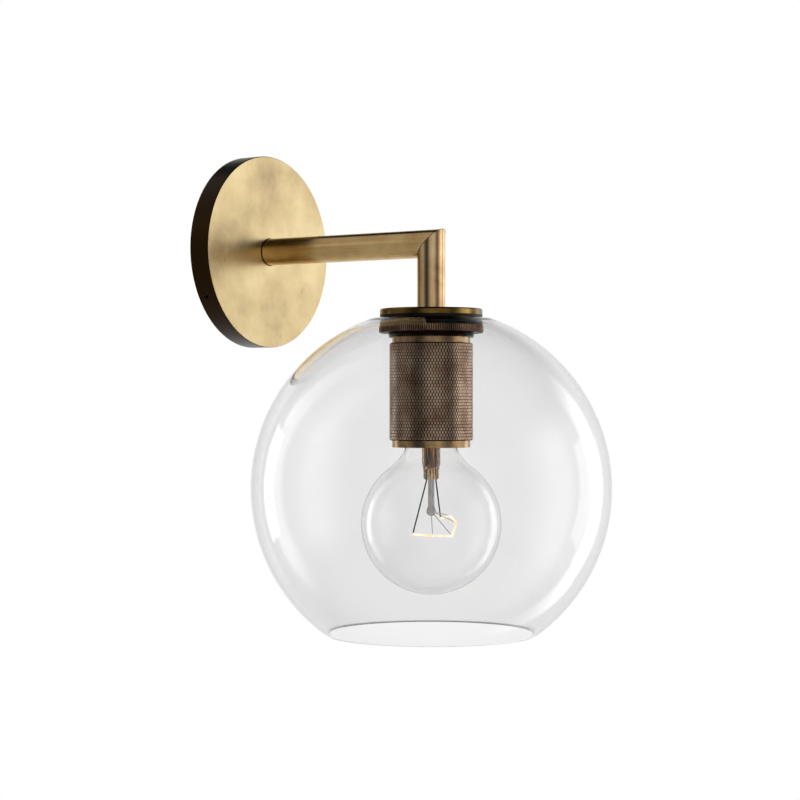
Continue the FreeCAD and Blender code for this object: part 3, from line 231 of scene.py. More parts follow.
# Drawn tube, with the die's long lines. The arm and the drop differ in the way that they run.
ARM_BRASS = aged_brass(
    "aged_brass_drawn_arm", [(0.3, "#B08C58"), (0.5, "#CFAC75"), (0.7, "#DFC187")],
    patina_mm=16.0, roughness=0.2, grain=(1, 0.02, 1), grain_mm=0.7, streaks=0.35)
DROP_BRASS = aged_brass(
    "aged_brass_drawn_drop", [(0.3, "#94704E"), (0.5, "#C4A57A"), (0.7, "#DABF92")],
    patina_mm=16.0, roughness=0.15, grain=(1, 1, 0.02), grain_mm=0.7, streaks=0.35)
# Turned sleeve with a rolled knurl, rubbed bright on the pads and brown between them.
KNURL_BRASS = aged_brass(
    "aged_brass_knurled", [(0.3, "#94745E"), (0.5, "#C2A58C"), (0.7, "#E2CBB0")],
    patina_mm=12.0, roughness=0.32, grain=(1, 1, 1), grain_mm=0.3,
    patina_and_shade="#20120B", about=(*ROUND_STEM, 23.44, 23.57))
# Turned ring with milled flutes, brown at their roots.
RING_BRASS = aged_brass(
    "aged_brass_fluted", [(0.3, "#704C3A"), (0.5, "#A27E68"), (0.7, "#C4A588")],
    patina_mm=9.0, roughness=0.36, grain=(1, 1, 1), grain_mm=0.3,
    patina_and_shade="#22130B", about=(*ROUND_STEM, 29.15, 29.46))
# Turned collar with a cut thread, painted dark over the thread: partly the brown that the rubbing
# leaves in it, partly painted shade for the shadow it lies in under the retaining ring.
THREAD_BRASS = aged_brass(
    "aged_brass_cut_collar", [(0.3, "#806146"), (0.5, "#A98B68"), (0.7, "#C8AC88")],
    patina_mm=10.0, roughness=0.22, grain=(0.05, 0.05, 1), grain_mm=0.3, streaks=0.3,
    patina_and_shade="#26160D", about=(*ROUND_STEM, 23.2, 22.6))
# Turned disc, painted the darkest of the brasses: painted shade, for the dark that its edge
# mirrors.
DISC_BRASS = aged_brass(
    "aged_brass_disc", [(0.3, "#3E2E12"), (0.5, "#73592B"), (0.7, "#A2854A")],
    patina_mm=14.0, roughness=0.2, grain=(0.05, 0.05, 1), grain_mm=0.3, streaks=0.3)
# Turned end ring, rubbed back evenly.
PALE_BRASS = aged_brass(
    "aged_brass_turned", [(0.3, "#77592F"), (0.5, "#A4855A"), (0.7, "#C6AA7C")],
    patina_mm=12.0, roughness=0.2, grain=(0.05, 0.05, 1), grain_mm=0.3, streaks=0.3)

# Brass strip and bar, pressed or turned and left bright, for what carries current or a thread.
CONTACT_BRASS = plated_metal(
    "bright_brass_pressing", [(0.3, "#C39A50"), (0.7, "#DDBB74")], grain_mm=5.0, roughness=0.26)
# Soft solder, browned with the brass in the bath. The same near-black draws the painted shadow
# round the arm's root.
SOLDER_AND_SHADE = plated_metal(
    "browned_solder_and_painted_shade", [(0.3, "#1A100A"), (0.7, "#3C2818")], grain_mm=2.0, roughness=0.4)
# Steel, stamped or turned, with bright zinc plate.
ZINC = plated_metal(
    "zinc_plated_steel", [(0.3, "#A9ADB0"), (0.7, "#C9CCCD")], grain_mm=3.0, roughness=0.34)
# Thin rolled brass under nickel plate: the lamp's base.
NICKEL = plated_metal(
    "nickel_plated_brass", [(0.3, "#BCB7AD"), (0.7, "#CCC8BF")], grain_mm=4.0, roughness=0.22)
# Steel blackened in a hot salt bath, then oiled.
BLACK_OXIDE = plated_metal(
    "black_oxide_steel", [(0.3, "#1B1A19"), (0.7, "#2E2C2A")], grain_mm=2.0, roughness=0.4)
# Drawn wire that holds the filament up.
MOLYBDENUM = plated_metal(
    "drawn_molybdenum", [(0.3, "#CDBD9C"), (0.7, "#F0E8D4")], grain_mm=0.6, roughness=0.35)
# Drawn wire, darkened when the glass was sealed round it.
LEAD_WIRE = plated_metal(
    "oxidised_nickel_wire", [(0.3, "#12100F"), (0.7, "#2B2523")], grain_mm=0.8, roughness=0.4)

# Rubber pressed in a mould, matt and nearly black.
RUBBER = moulded(
    "moulded_nitrile_rubber", [(0.3, "#030202"), (0.7, "#0A0808")],
    grain_mm=3.0, roughness=0.4, bump_mm=0.05, shine=0.15)
# Pressed clay, dipped in glaze and fired.
PORCELAIN = moulded(
    "glazed_porcelain", [(0.3, "#E4E0D6"), (0.7, "#F1EEE6")],
    grain_mm=8.0, roughness=0.18, bump_mm=0.01, coat=0.6)
# Injection-moulded, in its natural off-white.
POLYAMIDE = moulded(
    "moulded_polyamide", [(0.3, "#D9D6CC"), (0.7, "#E8E5DC")],
    grain_mm=4.0, roughness=0.45, bump_mm=0.03)
# Soft sleeving, extruded over the wire.
BLACK_SLEEVE, WHITE_SLEEVE, GREEN_SLEEVE = (
    moulded(name, [(0.3, deep), (0.7, pale)], grain_mm=3.0, roughness=0.42, bump_mm=0.02)
    for name, deep, pale in (("pvc_sleeve_black", "#141414", "#242322"),
                             ("pvc_sleeve_white", "#DAD9D3", "#EAE9E4"),
                             ("pvc_sleeve_green", "#1C6B33", "#2C8745")))
# Black glass, cast round the lamp's tip contact.
VITRITE = moulded(
    "black_base_glass", [(0.3, "#0E0C12"), (0.7, "#1F1B26")],
    grain_mm=2.0, roughness=0.12, bump_mm=0.02, coat=0.4)

# Soda-lime glass, blown in a mould and fire-polished.
GLOBE_GLASS = clear_glass(
    "blown_soda_lime_globe", ("#F6F6F6", "#F7F7F7"), wave_mm=60.0, wave_height_mm=0.05, index=1.4)
# The globe's mouth, cut off and ground flat, so it is matt.
GROUND_EDGE = clear_glass(
    "ground_glass_edge", ("#E9EBEB", "#F6F7F7"), wave_mm=4.0, wave_height_mm=0.1, index=1.4,
    roughness=0.55)
# Thinner glass, blown by machine.
LAMP_GLASS = clear_glass(
    "blown_lamp_glass", ("#FDFDFD", "#FFFFFF"), wave_mm=30.0, wave_height_mm=0.03, index=1.33)
# Lead glass, softened and pinched round the leads. Its brown is painted reflection of the dark
# socket above it, and its long light streaks are painted highlights.
STEM_GLASS = clear_glass(
    "pressed_lead_glass", ("#241008", "#DDB687"), wave_mm=1.1, wave_height_mm=0.1,
    stretch=(1, 1, 0.06))
# Glass rod, drawn, with its end melted to a button. Its grey is painted shade, for the dark that
# the clear rod shows through its middle.
ROD_GLASS = clear_glass(
    "drawn_glass_rod", ("#8C8683", "#A8A29E"), wave_mm=1.1, wave_height_mm=0.05,
    stretch=(1, 1, 0.04))
# Drawn tungsten, coiled and lit.
HOT_TUNGSTEN = glowing_wire("glowing_tungsten", [(0.3, "#FFD08A"), (0.6, "#FFF1D2")], strength=1.3)

FINISHES = {
    "canopy": CANOPY_BRASS, "arm_tube": ARM_BRASS, "drop_tube": DROP_BRASS,
    "clamp_disc": DISC_BRASS, "end_ring": PALE_BRASS, "threaded_collar": THREAD_BRASS,
    "retaining_ring": RING_BRASS, "knurled_cover": KNURL_BRASS,
    "upper_gasket": RUBBER, "lower_gasket": RUBBER,
    "wall_plate": ZINC, "canopy_set_screws": BLACK_OXIDE, "earth_screw": CONTACT_BRASS,
    "terminal_block": POLYAMIDE, "block_barrels": CONTACT_BRASS, "block_screws": ZINC,
    "block_fixing_screw": ZINC, "arm_bush": CONTACT_BRASS, "stem_bush": CONTACT_BRASS,
    "arm_nipple": ZINC, "stem_nipple": ZINC, "arm_washer": ZINC, "arm_nut": ZINC, "stem_nut": ZINC,
    "lampholder_body": PORCELAIN, "screw_shell": CONTACT_BRASS, "centre_contact": CONTACT_BRASS,
    "terminal_plates": CONTACT_BRASS, "terminal_rivets": CONTACT_BRASS,
    "terminal_screws": CONTACT_BRASS, "holder_bracket": ZINC, "bracket_screws": ZINC,
    "live_wire": BLACK_SLEEVE, "neutral_wire": WHITE_SLEEVE, "earth_wire": GREEN_SLEEVE,
    "lamp_base_shell": NICKEL, "lamp_base_insulator": VITRITE, "lamp_tip_contact": NICKEL,
    "lamp_leads": LEAD_WIRE, "filament": MOLYBDENUM, "filament_supports": MOLYBDENUM,
    "glass_globe": GLOBE_GLASS, "lamp_envelope": LAMP_GLASS, "lamp_mount": STEM_GLASS,
    "lamp_rod": ROD_GLASS,
}
for name, finish in FINISHES.items():
    NODES[name].data.materials.clear()
    NODES[name].data.materials.append(finish)


# Turned and blown shapes -------------------------------------------------------------------------

def start_profile(shape, across, up):
    """The first vertex of a profile. Sizes are millimetres from the axis and up it."""
    return shape.verts.new(Vector((across, 0, up)) * MM)


def lines_to(shape, here, *corners):
    """Draws straight lines on the profile, from the vertex here through each (across, up)."""
    for across, up in corners:
        here = bmesh.ops.extrude_vert_indiv(shape, verts=[here])["verts"][0]
        here.co = Vector((across, 0, up)) * MM
    return here


def arc_about(shape, here, across, up, degrees, steps):
    """Draws an arc on the profile about a centre. Positive degrees go clockwise, up being up."""
    swept = bmesh.ops.spin(shape, geom=[here], cent=Vector((across, 0, up)) * MM, axis=(0, 1, 0),
                           angle=math.radians(degrees), steps=steps, use_merge=False)
    return next(item for item in swept["geom_last"] if isinstance(item, bmesh.types.BMVert))


def full_turn(shape, steps):
    """Turns everything drawn so far once about the upright axis."""
    bmesh.ops.spin(shape, geom=shape.verts[:] + shape.edges[:], cent=(0, 0, 0), axis=(0, 0, 1),
                   angle=math.tau, steps=steps, use_merge=True)
    bmesh.ops.remove_doubles(shape, verts=shape.verts[:], dist=0.001 * MM)


def turn_profile(shape, steps):
    """Turns the profile into a skin that faces outwards."""
    full_turn(shape, steps)
    bmesh.ops.recalc_face_normals(shape, faces=shape.faces[:])


def turn_outline(shape, steps, start, *corners):
    """Turns an outline of straight lines, closed on itself, about the axis."""
    first = start_profile(shape, *start)
    shape.edges.new((lines_to(shape, first, *corners), first))
    turn_profile(shape, steps)


def edges_in(items):
    """The edges among an operator's results."""
    return [item for item in items if isinstance(item, bmesh.types.BMEdge)]


def finish_piece(shape, name, material, body, node, smooth_degrees=35.0, on_stem=True):
    """Makes the mesh an object on its CAD body, in place of the node that it stands for."""
    if on_stem:
        bmesh.ops.translate(shape, verts=shape.verts[:], vec=STEM)
    for edge in shape.edges:
        edge.smooth = edge.calc_face_angle(0.0) < math.radians(smooth_degrees)
    for face in shape.faces:
        face.smooth = True
    mesh = bpy.data.meshes.new(name)
    shape.to_mesh(mesh)
    shape.free()
    mesh.materials.append(material)
    piece = bpy.data.objects.new(name, mesh)
    bpy.context.scene.collection.objects.link(piece)
    if node:
        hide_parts(node)
    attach(piece, body)
    return piece


def blow_globe():
    """The globe: a blown ball, flat where the gaskets grip it, cut off below and ground flat.

    Its wall is thick at the land and thins where the ball is blown out.
    """
    low, high = node_mm("glass_globe")
    radius = (high.x - low.x) / 2
    hole, land, shoulder = 25.2, 33.0, 8.0  # radii of the hole, of the flat land and of its bend
    wall, ball_wall, arris = 2.2, 1.4, 0.4
    ball_steps, shoulder_steps = 96, 8
    centre = high.z - math.sqrt(radius ** 2 - land ** 2)
    shoulder_across = math.sqrt((radius - shoulder) ** 2 - (high.z - shoulder - centre) ** 2)
    lean = math.degrees(math.asin(shoulder_across / (radius - shoulder)))
    outer_end = math.degrees(math.acos((low.z + arris - centre) / radius))
    inner_end = math.degrees(math.acos((low.z + arris - centre) / (radius - ball_wall)))
    inner_lean = math.degrees(math.acos((high.z - wall - centre) / (radius - ball_wall)))
    outer_across = radius * math.sin(math.radians(outer_end))
    inner_across = (radius - ball_wall) * math.sin(math.radians(inner_end))
    shape = bmesh.new()
    first = start_profile(shape, hole, high.z)
    here = lines_to(shape, first, (shoulder_across, high.z))
    here = arc_about(shape, here, shoulder_across, high.z - shoulder, lean, shoulder_steps)
    here = arc_about(shape, here, 0, centre, outer_end - lean, ball_steps)
    here = lines_to(shape, here, (outer_across - 2 * arris, low.z),
                    (inner_across + arris / 4, low.z), (inner_across, low.z + arris))
    here = arc_about(shape, here, 0, centre, inner_lean - inner_end, ball_steps)
    shape.edges.new((lines_to(shape, here, (hole, high.z - wall)), first))
    turn_profile(shape, 160)
    ground_top = (low.z + 1.1 * arris) * MM
    for face in shape.faces:
        face.material_index = all(vertex.co.z < ground_top for vertex in face.verts)
    globe = finish_piece(shape, "blown_globe", GLOBE_GLASS, "shade", "glass_globe")
    globe.data.materials.append(GROUND_EDGE)


def blow_lamp():
    """The lamp's bulb: a ball that flares out of a narrow neck, closed at the bottom."""
    low, high = node_mm("lamp_envelope")
    ball = (high.x - low.x) / 2
    wall, neck, neck_straight = 0.35, 12.35, 4.4
    ball_steps, flare_steps = 64, 20
    centre = low.z + ball
    rise = high.z - neck_straight - centre
    flare = (rise ** 2 - ball ** 2 + neck ** 2) / (2 * (ball - neck))
    lean = math.degrees(math.atan2(neck + flare, rise))
    shape = bmesh.new()
    here = start_profile(shape, 0, low.z)
    here = arc_about(shape, here, 0, centre, lean - 180, ball_steps)
    here = arc_about(shape, here, neck + flare, centre + rise, 90 - lean, flare_steps)
    here = lines_to(shape, here, (neck, high.z), (neck - wall, high.z),
                    (neck - wall, centre + rise))
    here = arc_about(shape, here, neck + flare, centre + rise, lean - 90, flare_steps)
    arc_about(shape, here, 0, centre, 180 - lean, ball_steps)
    turn_profile(shape, 112)
    finish_piece(shape, "lamp_bulb", LAMP_GLASS, "lamp", "lamp_envelope")


def knurl_cover():
    """The socket's cover: a sleeve rolled with rows of upright pads, each row half a pad on."""
    low, high = node_mm("knurled_cover")
    crest = (high.x - low.x) / 2
    depth, margin, bore = 0.38, 0.2, 22.16
    land, chamfer = 0.5, 0.45  # the plain strip at each end, and how far it slopes in
    pad_across, pad_height = 1.7, 1.75  # the real pads are 1.15 mm across, too fine to show
    narrowed = 0.3  # how much of a pad's width its sloping sides take up at the crest
    halves = 2 * round(math.tau * crest / pad_across)
    rows = round((high.z - low.z - 2 * land) / pad_height)
    pitch = (high.z - low.z - 2 * land) / rows
    root = crest - depth
    shape = bmesh.new()
    first = start_profile(shape, root, low.z + land)
    lines_to(shape, first, *[(root, low.z + land + (row + 1) * pitch) for row in range(rows)])
    turn_profile(shape, halves)
    inside_pads = []
    for edge in shape.edges:
        middle = (edge.verts[0].co + edge.verts[1].co) / 2
        row = (middle.z / MM - low.z - land) / pitch
        column = round(math.atan2(middle.y, middle.x) / math.tau * halves)
        if abs(row - math.floor(row) - 0.5) < 0.1 and (math.floor(row) + column) % 2:
            inside_pads.append(edge)
    bmesh.ops.dissolve_edges(shape, edges=inside_pads, use_verts=False)
    pads = shape.faces[:]
    bmesh.ops.inset_individual(shape, faces=pads, thickness=margin * MM, depth=depth * MM)
    for pad in pads:
        middle = pad.calc_center_median()
        sideways = Vector((-middle.y, middle.x, 0)).normalized()
        for vertex in pad.verts:
            vertex.co -= sideways * sideways.dot(vertex.co - middle) * narrowed
    for level, edge_level in ((high.z - land, high.z), (low.z + land, low.z)):
        rim = [e for e in shape.edges
               if e.is_boundary and abs(e.verts[0].co.z / MM - level) < 0.01]
        for radius in (crest - chamfer, bore):
            drawn = bmesh.ops.extrude_edge_only(shape, edges=rim)["geom"]
            rim = [edge for edge in edges_in(drawn) if edge.is_boundary]
            for vertex in {v for e in rim for v in e.verts}:
                vertex.co.xy *= radius * MM / vertex.co.xy.length
                vertex.co.z = edge_level * MM
    bmesh.ops.bridge_loops(shape, edges=[e for e in shape.edges if e.is_boundary])
    bmesh.ops.recalc_face_normals(shape, faces=shape.faces[:])
    finish_piece(shape, "knurled_sleeve", KNURL_BRASS, "root", "knurled_cover", smooth_degrees=12.0)


def add_thread(shape, radius, depth, pitch, top, turns, steps=72, flat=0.2):
    """A right-handed ridge round the axis. Its crest is at the radius, its foot in the core."""
    sunk, slope = 0.1, 0.02
    root, half, crest = radius - depth, pitch / 2, pitch * flat / 2
    foot = [(root - sunk, half), (root, half - slope), (radius, crest),
            (radius, -crest), (root, -half + slope), (root - sunk, -half)]
    corners = [shape.verts.new(Vector((across, 0, top - half + up)) * MM) for across, up in foot]
    section = [shape.edges.new((corners[n], corners[n - 1])) for n in range(len(corners))]
    swept = bmesh.ops.spin(shape, geom=corners + section, cent=(0, 0, 0), axis=(0, 0, 1),
                           angle=-math.tau * turns, steps=int(steps * turns),
                           dvec=(0, 0, -pitch * MM / steps), use_merge=False)
    bmesh.ops.contextual_create(shape, geom=section)
    bmesh.ops.contextual_create(shape, geom=edges_in(swept["geom_last"]))
    bmesh.ops.recalc_face_normals(shape, faces=shape.faces[:])


def cut_collar():
    """The collar: a turned cup. Its upper part carries the ring's thread, its neck the cover."""
    low, high = node_mm("threaded_collar")
    crest = (high.x - low.x) / 2
    depth, pitch, thread_end, run_in = 0.45, 1.0, -53.0, 0.3
    core, neck, bore, hole, roof = crest - depth, 22.1, 20.2, 5.1, high.z - 3.0
    shape = bmesh.new()
    turn_outline(shape, 96, (hole, high.z), (core, high.z), (core, thread_end), (neck, thread_end),
                 (neck, low.z), (bore, low.z), (bore, roof), (hole, roof))
    turns = (high.z - 0.4 - thread_end) / pitch - 1
    add_thread(shape, crest, depth, pitch, high.z - run_in, turns)
    finish_piece(shape, "collar_with_thread", THREAD_BRASS, "root", "threaded_collar")


def roll_base():
    """The lamp's base: a thin sleeve rolled with a coarse round thread, plain at both ends."""
    low, high = node_mm("lamp_base_shell")
    crest = (high.x - low.x) / 2
    depth, pitch, plain, slope = 0.42, 3.63, 1.3, 0.4
    root, bore, thinned = crest - depth, 12.65, 12.5
    shape = bmesh.new()
    turn_outline(shape, 96, (bore, high.z), (crest, high.z), (crest, high.z - plain),
                 (root, high.z - plain - slope), (root, low.z + plain + slope),
                 (crest, low.z + plain), (crest, low.z), (bore, low.z), (bore, low.z + plain),
                 (thinned, low.z + plain + slope), (thinned, high.z - plain - slope),
                 (bore, high.z - plain))
    turns = (high.z - low.z - 2 * (plain + slope)) / pitch - 1
    add_thread(shape, crest, depth, pitch, high.z - plain - slope / 2, turns, flat=0.3)
    finish_piece(shape, "rolled_base", NICKEL, "lamp", "lamp_base_shell")


def ring_section(shape, across, thickness, segments):
    """A small upright circle beside the axis, ready to be turned. Sizes are millimetres."""
    place = Matrix.Translation((across * MM, 0, 0)) @ Matrix.Rotation(math.radians(90), 4, "X")
    circle = bmesh.ops.create_circle(shape, segments=segments, radius=thickness * MM, matrix=place)
    return circle["verts"]


def solder_and_shadow_line(name, line, tilt, stretch, at):
    """A fine dark line round the tube: solder at the mitre, and painted shadow where the arm meets
    the canopy.
    """
    low, high = node_mm("drop_tube")
    shape = bmesh.new()
    ring_section(shape, (high.x - low.x) / 2, line, 8)
    full_turn(shape, 64)
    bmesh.ops.scale(shape, verts=shape.verts[:], vec=(1, stretch, 1))
    bmesh.ops.rotate(shape, verts=shape.verts[:],
                     matrix=Matrix.Rotation(math.radians(tilt), 3, "X"))
    bmesh.ops.translate(shape, verts=shape.verts[:], vec=at)
    bmesh.ops.recalc_face_normals(shape, faces=shape.faces[:])
    dark_line = finish_piece(shape, name, SOLDER_AND_SHADE, "root", None, on_stem=False)


# Where the filament bends, as shares of the lamp's radius from its centre.
FILAMENT = [(-0.259, -0.076, -0.141), (0.015, -0.239, -0.151), (0.292, -0.151, -0.161),
            (0.358, 0.013, 0.020), (0.277, 0.151, 0.106), (0.136, 0.189, 0.071)]
# How far round the lamp stands when it is screwed in, in degrees.
LAMP_TURN = -55.0


def coil_filament():
    """The filament: a close coil of fine wire, strung from lead to lead over the support hooks."""
    low, high = node_mm("lamp_envelope")
    ball = (high.x - low.x) / 2
    turned = Matrix.Rotation(math.radians(LAMP_TURN), 3, "Z")
    centre = Vector((0, 0, low.z + ball))
    corners = [(turned @ Vector(place) * ball + centre) * MM for place in FILAMENT]
    coil, wire, pitch, steps = 0.5, 0.15, 0.46, 10  # real wire is under 0.1 mm, too fine to show
    shape = bmesh.new()
    for start, end in zip(corners, corners[1:]):
        run = end - start
        turns = round(run.length / MM / pitch)
        section = ring_section(shape, coil, wire, 5)
        edges = list({edge for vertex in section for edge in vertex.link_edges})
        before = set(shape.verts) - set(section)
        bmesh.ops.contextual_create(shape, geom=edges)
        swept = bmesh.ops.spin(shape, geom=section + edges, cent=(0, 0, 0), axis=(0, 0, 1),
                               angle=math.tau * turns, steps=steps * turns,
                               dvec=(0, 0, run.length / (steps * turns)), use_merge=False)
        bmesh.ops.contextual_create(shape, geom=edges_in(swept["geom_last"]))
        fresh = [vertex for vertex in shape.verts if vertex not in before]
        bmesh.ops.rotate(shape, verts=fresh, matrix=run.to_track_quat("Z", "X").to_matrix())
        bmesh.ops.translate(shape, verts=fresh, vec=start)
    bmesh.ops.recalc_face_normals(shape, faces=shape.faces[:])
    finish_piece(shape, "filament_coil", HOT_TUNGSTEN, "lamp", "filament", smooth_degrees=80.0)


ARM_ROOT = Vector((0, node_mm("canopy")[0].y * MM, 0))
blow_globe()
blow_lamp()
solder_and_shadow_line("mitre_seam", line=0.14, tilt=-45, stretch=math.sqrt(2), at=STEM)
# The ring at the arm's root is painted shadow, a dark line where the arm meets the canopy.
solder_and_shadow_line("arm_root_painted_shadow", line=0.42, tilt=90, stretch=1, at=ARM_ROOT)
coil_filament()
knurl_cover()
cut_collar()
roll_base()


# Camera ------------------------------------------------------------------------------------------

def set_camera():
    """The photograph's view: before the sconce and to its left, level with the knurled cover."""
    lens = bpy.data.cameras.new("photo_lens")
    lens.sensor_width = 36.0
    lens.lens = 90.02
    lens.clip_start = 0.05
    camera = bpy.data.objects.new("camera", lens)
    camera.location = (-0.93817, -0.75910, -0.08679)
    camera.rotation_euler = (math.radians(90 - 0.075), 0, math.radians(-55.241))
    bpy.context.scene.collection.objects.link(camera)
    bpy.context.scene.camera = camera


# Room --------------------------------------------------------------------------------------------

# Level ways from the sconce: to the photograph's camera, and to that view's right.
TO_CAMERA = Vector((-0.8216, -0.5701, 0.0))
TO_RIGHT = Vector((0.5701, -0.8216, 0.0))
# The globe's middle, which the lamps face.
MIDDLE = STEM + Vector((0, 0, -0.138))

# The walls as metal and glass mirror them: degrees to the right of the camera, and how bright.
BRIGHTEST = 2.6
ROOM = [(-180, 0.88), (-155, 0.85), (-138, 0.6), (-100, 0.35), (-70, 0.5), (-56, 0.2), (-42, 0.05),
        (-26, 0.1), (-12, 0.5), (0, 0.7), (22, 0.8), (36, 0.5), (46, 0.25), (60, 0.3), (72, 1.1),
        (83, 1.9), (94, 1.9), (103, 1.1), (116, 1.0), (122, 2.6), (134, 2.6), (139, 0.9),
        (180, 0.88)]
LEFT_PANE = [(-180, 0.0), (-134, 0.0), (-133, 2.0), (-119, 2.0), (-118, 0.0), (180, 0.0)]
# How far up a way points, 1 being straight up: where the walls darken into the ceiling, and the
# pane's edge.
CEILING = {"From Min": 0.3, "From Max": 0.62}
PANE_EDGE = {"From Min": 0.26, "From Max": 0.3}
CEILING_LEVEL = 0.03
DIFFUSE_LEVEL = 0.5

# The floor: how far down, how wide, how bright when mirrored right under the sconce, and how far
# out it has turned into the walls. Metres.
FLOOR_LEVEL = -1.4
FLOOR_RADIUS = 2.6
UNDER_LEVEL = 0.6
FLOOR_BLEND = {"From Min": 0.5, "From Max": 2.2}
# How plain the camera sees the paper: the rest of it is the paper's own shading, near the sconce.
FLOOR_PLAIN = {"To Min": 0.9, "To Max": 1.0}


def round_from_camera(degrees, elevation=0.0):
    """A way from the sconce, so many degrees to the right of the photograph's camera."""
    turn = math.radians(degrees)
    level = TO_CAMERA * math.cos(turn) + TO_RIGHT * math.sin(turn)
    lift = math.radians(elevation)
    return level * math.cos(lift) + Vector((0, 0, math.sin(lift)))


def wall_level(tree, way, stops):
    """How bright the room is that way round the sconce, from the stops, as a share of BRIGHTEST."""
    camera_way = math.atan2(TO_CAMERA.y, TO_CAMERA.x)
    turned = add(tree, "Mapping", {"Vector": way}, inputs={"Rotation": (0, 0, -camera_way)})
    round_room = add(tree, "TexGradient", {"Vector": turned.outputs["Vector"]},
                     gradient_type="RADIAL")
    walls = add(tree, "ValToRGB", {"Fac": round_room.outputs["Fac"]})
    elements = walls.color_ramp.elements
    while len(elements) < len(stops):
        elements.new(0.5)
    for element, (degrees, brightness) in zip(elements, stops):
        element.position = 0.5 + degrees / 360
        element.color = [brightness / BRIGHTEST] * 3 + [1.0]
    return walls.outputs["Color"]


def maths(tree, operation, first, second):
    """One step of arithmetic on a value and on another value or a number."""
    if isinstance(second, (int, float)):
        node = add(tree, "Math", {0: first}, operation=operation, inputs={1: second})
    else:
        node = add(tree, "Math", {0: first, 1: second}, operation=operation)
    return node.outputs["Value"]


def ray_kinds(tree):
    """Two switches: seen by the camera, also through glass but not by a mirror; and mirrored."""
    path = add(tree, "LightPath")
    unmirrored = maths(tree, "LESS_THAN", path.outputs["Glossy Depth"], 0.5)
    through = maths(tree, "MULTIPLY", path.outputs["Is Transmission Ray"], unmirrored)
    seen = maths(tree, "MAXIMUM", path.outputs["Is Camera Ray"], through)
    return seen, maths(tree, "GREATER_THAN", path.outputs["Glossy Depth"], 0.5)


def set_world():
    """White for the camera and through glass. Mirrored, it is the room's walls, dark overhead.

    Diffuse light is plain. Nothing aims at it, because an aimed ray doesn't count as mirrored.
    """
    world = bpy.data.worlds.new("studio")
    bpy.context.scene.world = world
    world.use_nodes = True
    world.cycles.sampling_method = "NONE"
    tree = world.node_tree
    tree.nodes.clear()
    seen, mirror = ray_kinds(tree)
    way = add(tree, "TexCoord").outputs["Generated"]
    height = add(tree, "SeparateXYZ", {"Vector": way}).outputs["Z"]
    lid = add(tree, "MapRange", {"Value": height}, interpolation_type="SMOOTHSTEP",
              inputs={**CEILING, "To Min": BRIGHTEST, "To Max": CEILING_LEVEL})
    walls = maths(tree, "MULTIPLY", wall_level(tree, way, ROOM), lid.outputs["Result"])
    off_level = add(tree, "Math", {0: height}, operation="ABSOLUTE")
    sill = add(tree, "MapRange", {"Value": off_level.outputs["Value"]},
               interpolation_type="SMOOTHSTEP",
               inputs={**PANE_EDGE, "To Min": BRIGHTEST, "To Max": 0.0})
    pane = maths(tree, "MULTIPLY", wall_level(tree, way, LEFT_PANE), sill.outputs["Result"])
    level = maths(tree, "MAXIMUM", walls, pane)
    unseen = add(tree, "Mix", {"Factor": mirror, "B": level}, data_type="FLOAT",
                 inputs={"A": DIFFUSE_LEVEL})
    strength = maths(tree, "MAXIMUM", seen, unseen.outputs["Result"])
    light = add(tree, "Background", {"Strength": strength}, inputs={"Color": (1, 1, 1, 1)})
    output = add(tree, "OutputWorld")
    tree.links.new(light.outputs["Background"], output.inputs["Surface"])


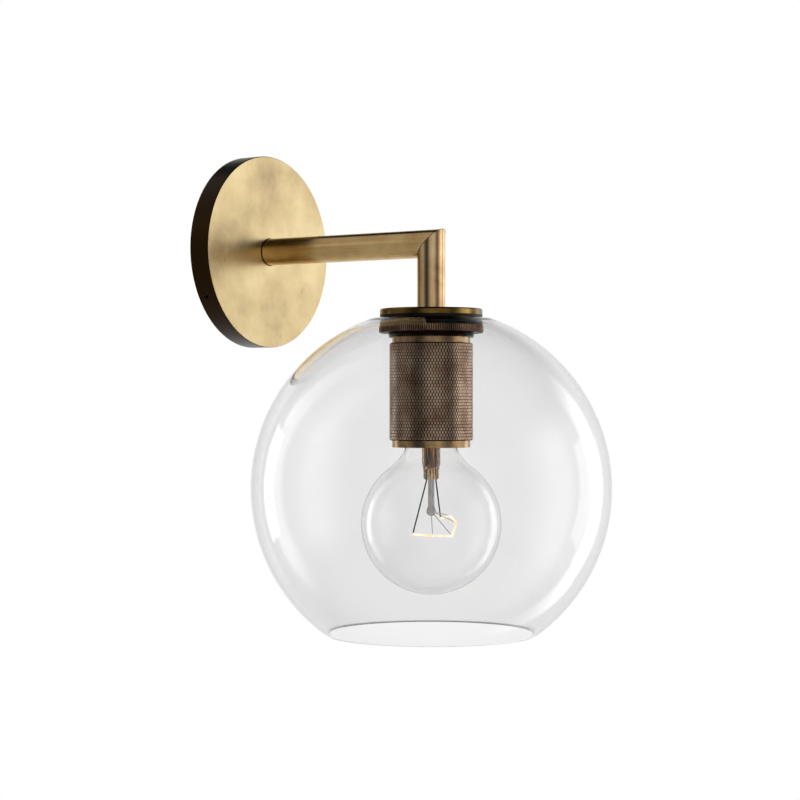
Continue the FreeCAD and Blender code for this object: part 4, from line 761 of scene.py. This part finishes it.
def white_stage_material(name, tint):
    """Seamless white paper: plain to the camera and through glass; it takes shadows.

    Mirrored, it is as bright as the wall it leads to, and evens out under the sconce.
    """
    material, tree, output = new_material(name)
    material.cycles.emission_sampling = "NONE"
    paper = add(tree, "BsdfDiffuse", inputs={"Color": linear(tint)})
    seen, mirror = ray_kinds(tree)
    place = add(tree, "TexCoord").outputs["Object"]
    way = add(tree, "VectorMath", {0: place}, inputs={1: (STEM.x, STEM.y, FLOOR_LEVEL)},
              operation="SUBTRACT").outputs["Vector"]
    away = add(tree, "VectorMath", {0: way}, operation="LENGTH").outputs["Value"]
    evened = add(tree, "MapRange", {"Value": away}, inputs=FLOOR_BLEND)
    level = add(tree, "Mix", {"Factor": evened.outputs["Result"], "B": wall_level(tree, way, ROOM)},
                data_type="FLOAT", inputs={"A": UNDER_LEVEL / BRIGHTEST})
    walled = maths(tree, "MULTIPLY", level.outputs["Result"], BRIGHTEST)
    strength = add(tree, "Mix", {"Factor": mirror, "B": walled}, data_type="FLOAT",
                   inputs={"A": 1.0})
    glow = add(tree, "Emission", {"Strength": strength.outputs["Result"]})
    plain = add(tree, "MapRange", {"Value": away}, inputs={**FLOOR_BLEND, **FLOOR_PLAIN})
    bright = maths(tree, "MULTIPLY", seen, plain.outputs["Result"])
    share = maths(tree, "MAXIMUM", bright, mirror)
    mixed = add(tree, "MixShader", {"Fac": share, 1: paper.outputs["BSDF"],
                                    2: glow.outputs["Emission"]})
    tree.links.new(mixed.outputs["Shader"], output.inputs["Surface"])
    return material


def set_stage():
    """A pale floor well under the sconce."""
    mesh = bpy.data.meshes.new("floor")
    shape = bmesh.new()
    bmesh.ops.create_circle(shape, cap_ends=True, segments=96, radius=FLOOR_RADIUS,
                            matrix=Matrix.Translation((0, -0.1, FLOOR_LEVEL)))
    shape.to_mesh(mesh)
    shape.free()
    floor = bpy.data.objects.new("floor", mesh)
    bpy.context.scene.collection.objects.link(floor)
    mesh.materials.append(white_stage_material("seamless_paper", "#F4F4F4"))


def softbox(name, towards, distance, size, power, mirrored):
    """A rectangular lamp that faces the sconce. One that isn't mirrored shows in no metal."""
    lamp = bpy.data.lights.new(name, "AREA")
    lamp.shape = "RECTANGLE"
    lamp.size, lamp.size_y = size
    lamp.energy = power
    holder = bpy.data.objects.new(name, lamp)
    holder.location = MIDDLE + towards * distance
    holder.rotation_euler = towards.to_track_quat("Z", "Y").to_euler()
    holder.visible_glossy = mirrored
    holder.visible_transmission = False
    bpy.context.scene.collection.objects.link(holder)


def set_lights():
    """A soft panel over the arm and a soft key over the camera. The room's walls light the rest."""
    softbox("top_panel", round_from_camera(-100, 45), distance=1.5, size=(1.3, 1.3), power=2.6,
            mirrored=True)
    softbox("key", round_from_camera(15, 42), distance=1.8, size=(0.9, 0.9), power=22.0,
            mirrored=False)


set_camera()
set_world()
set_stage()
set_lights()
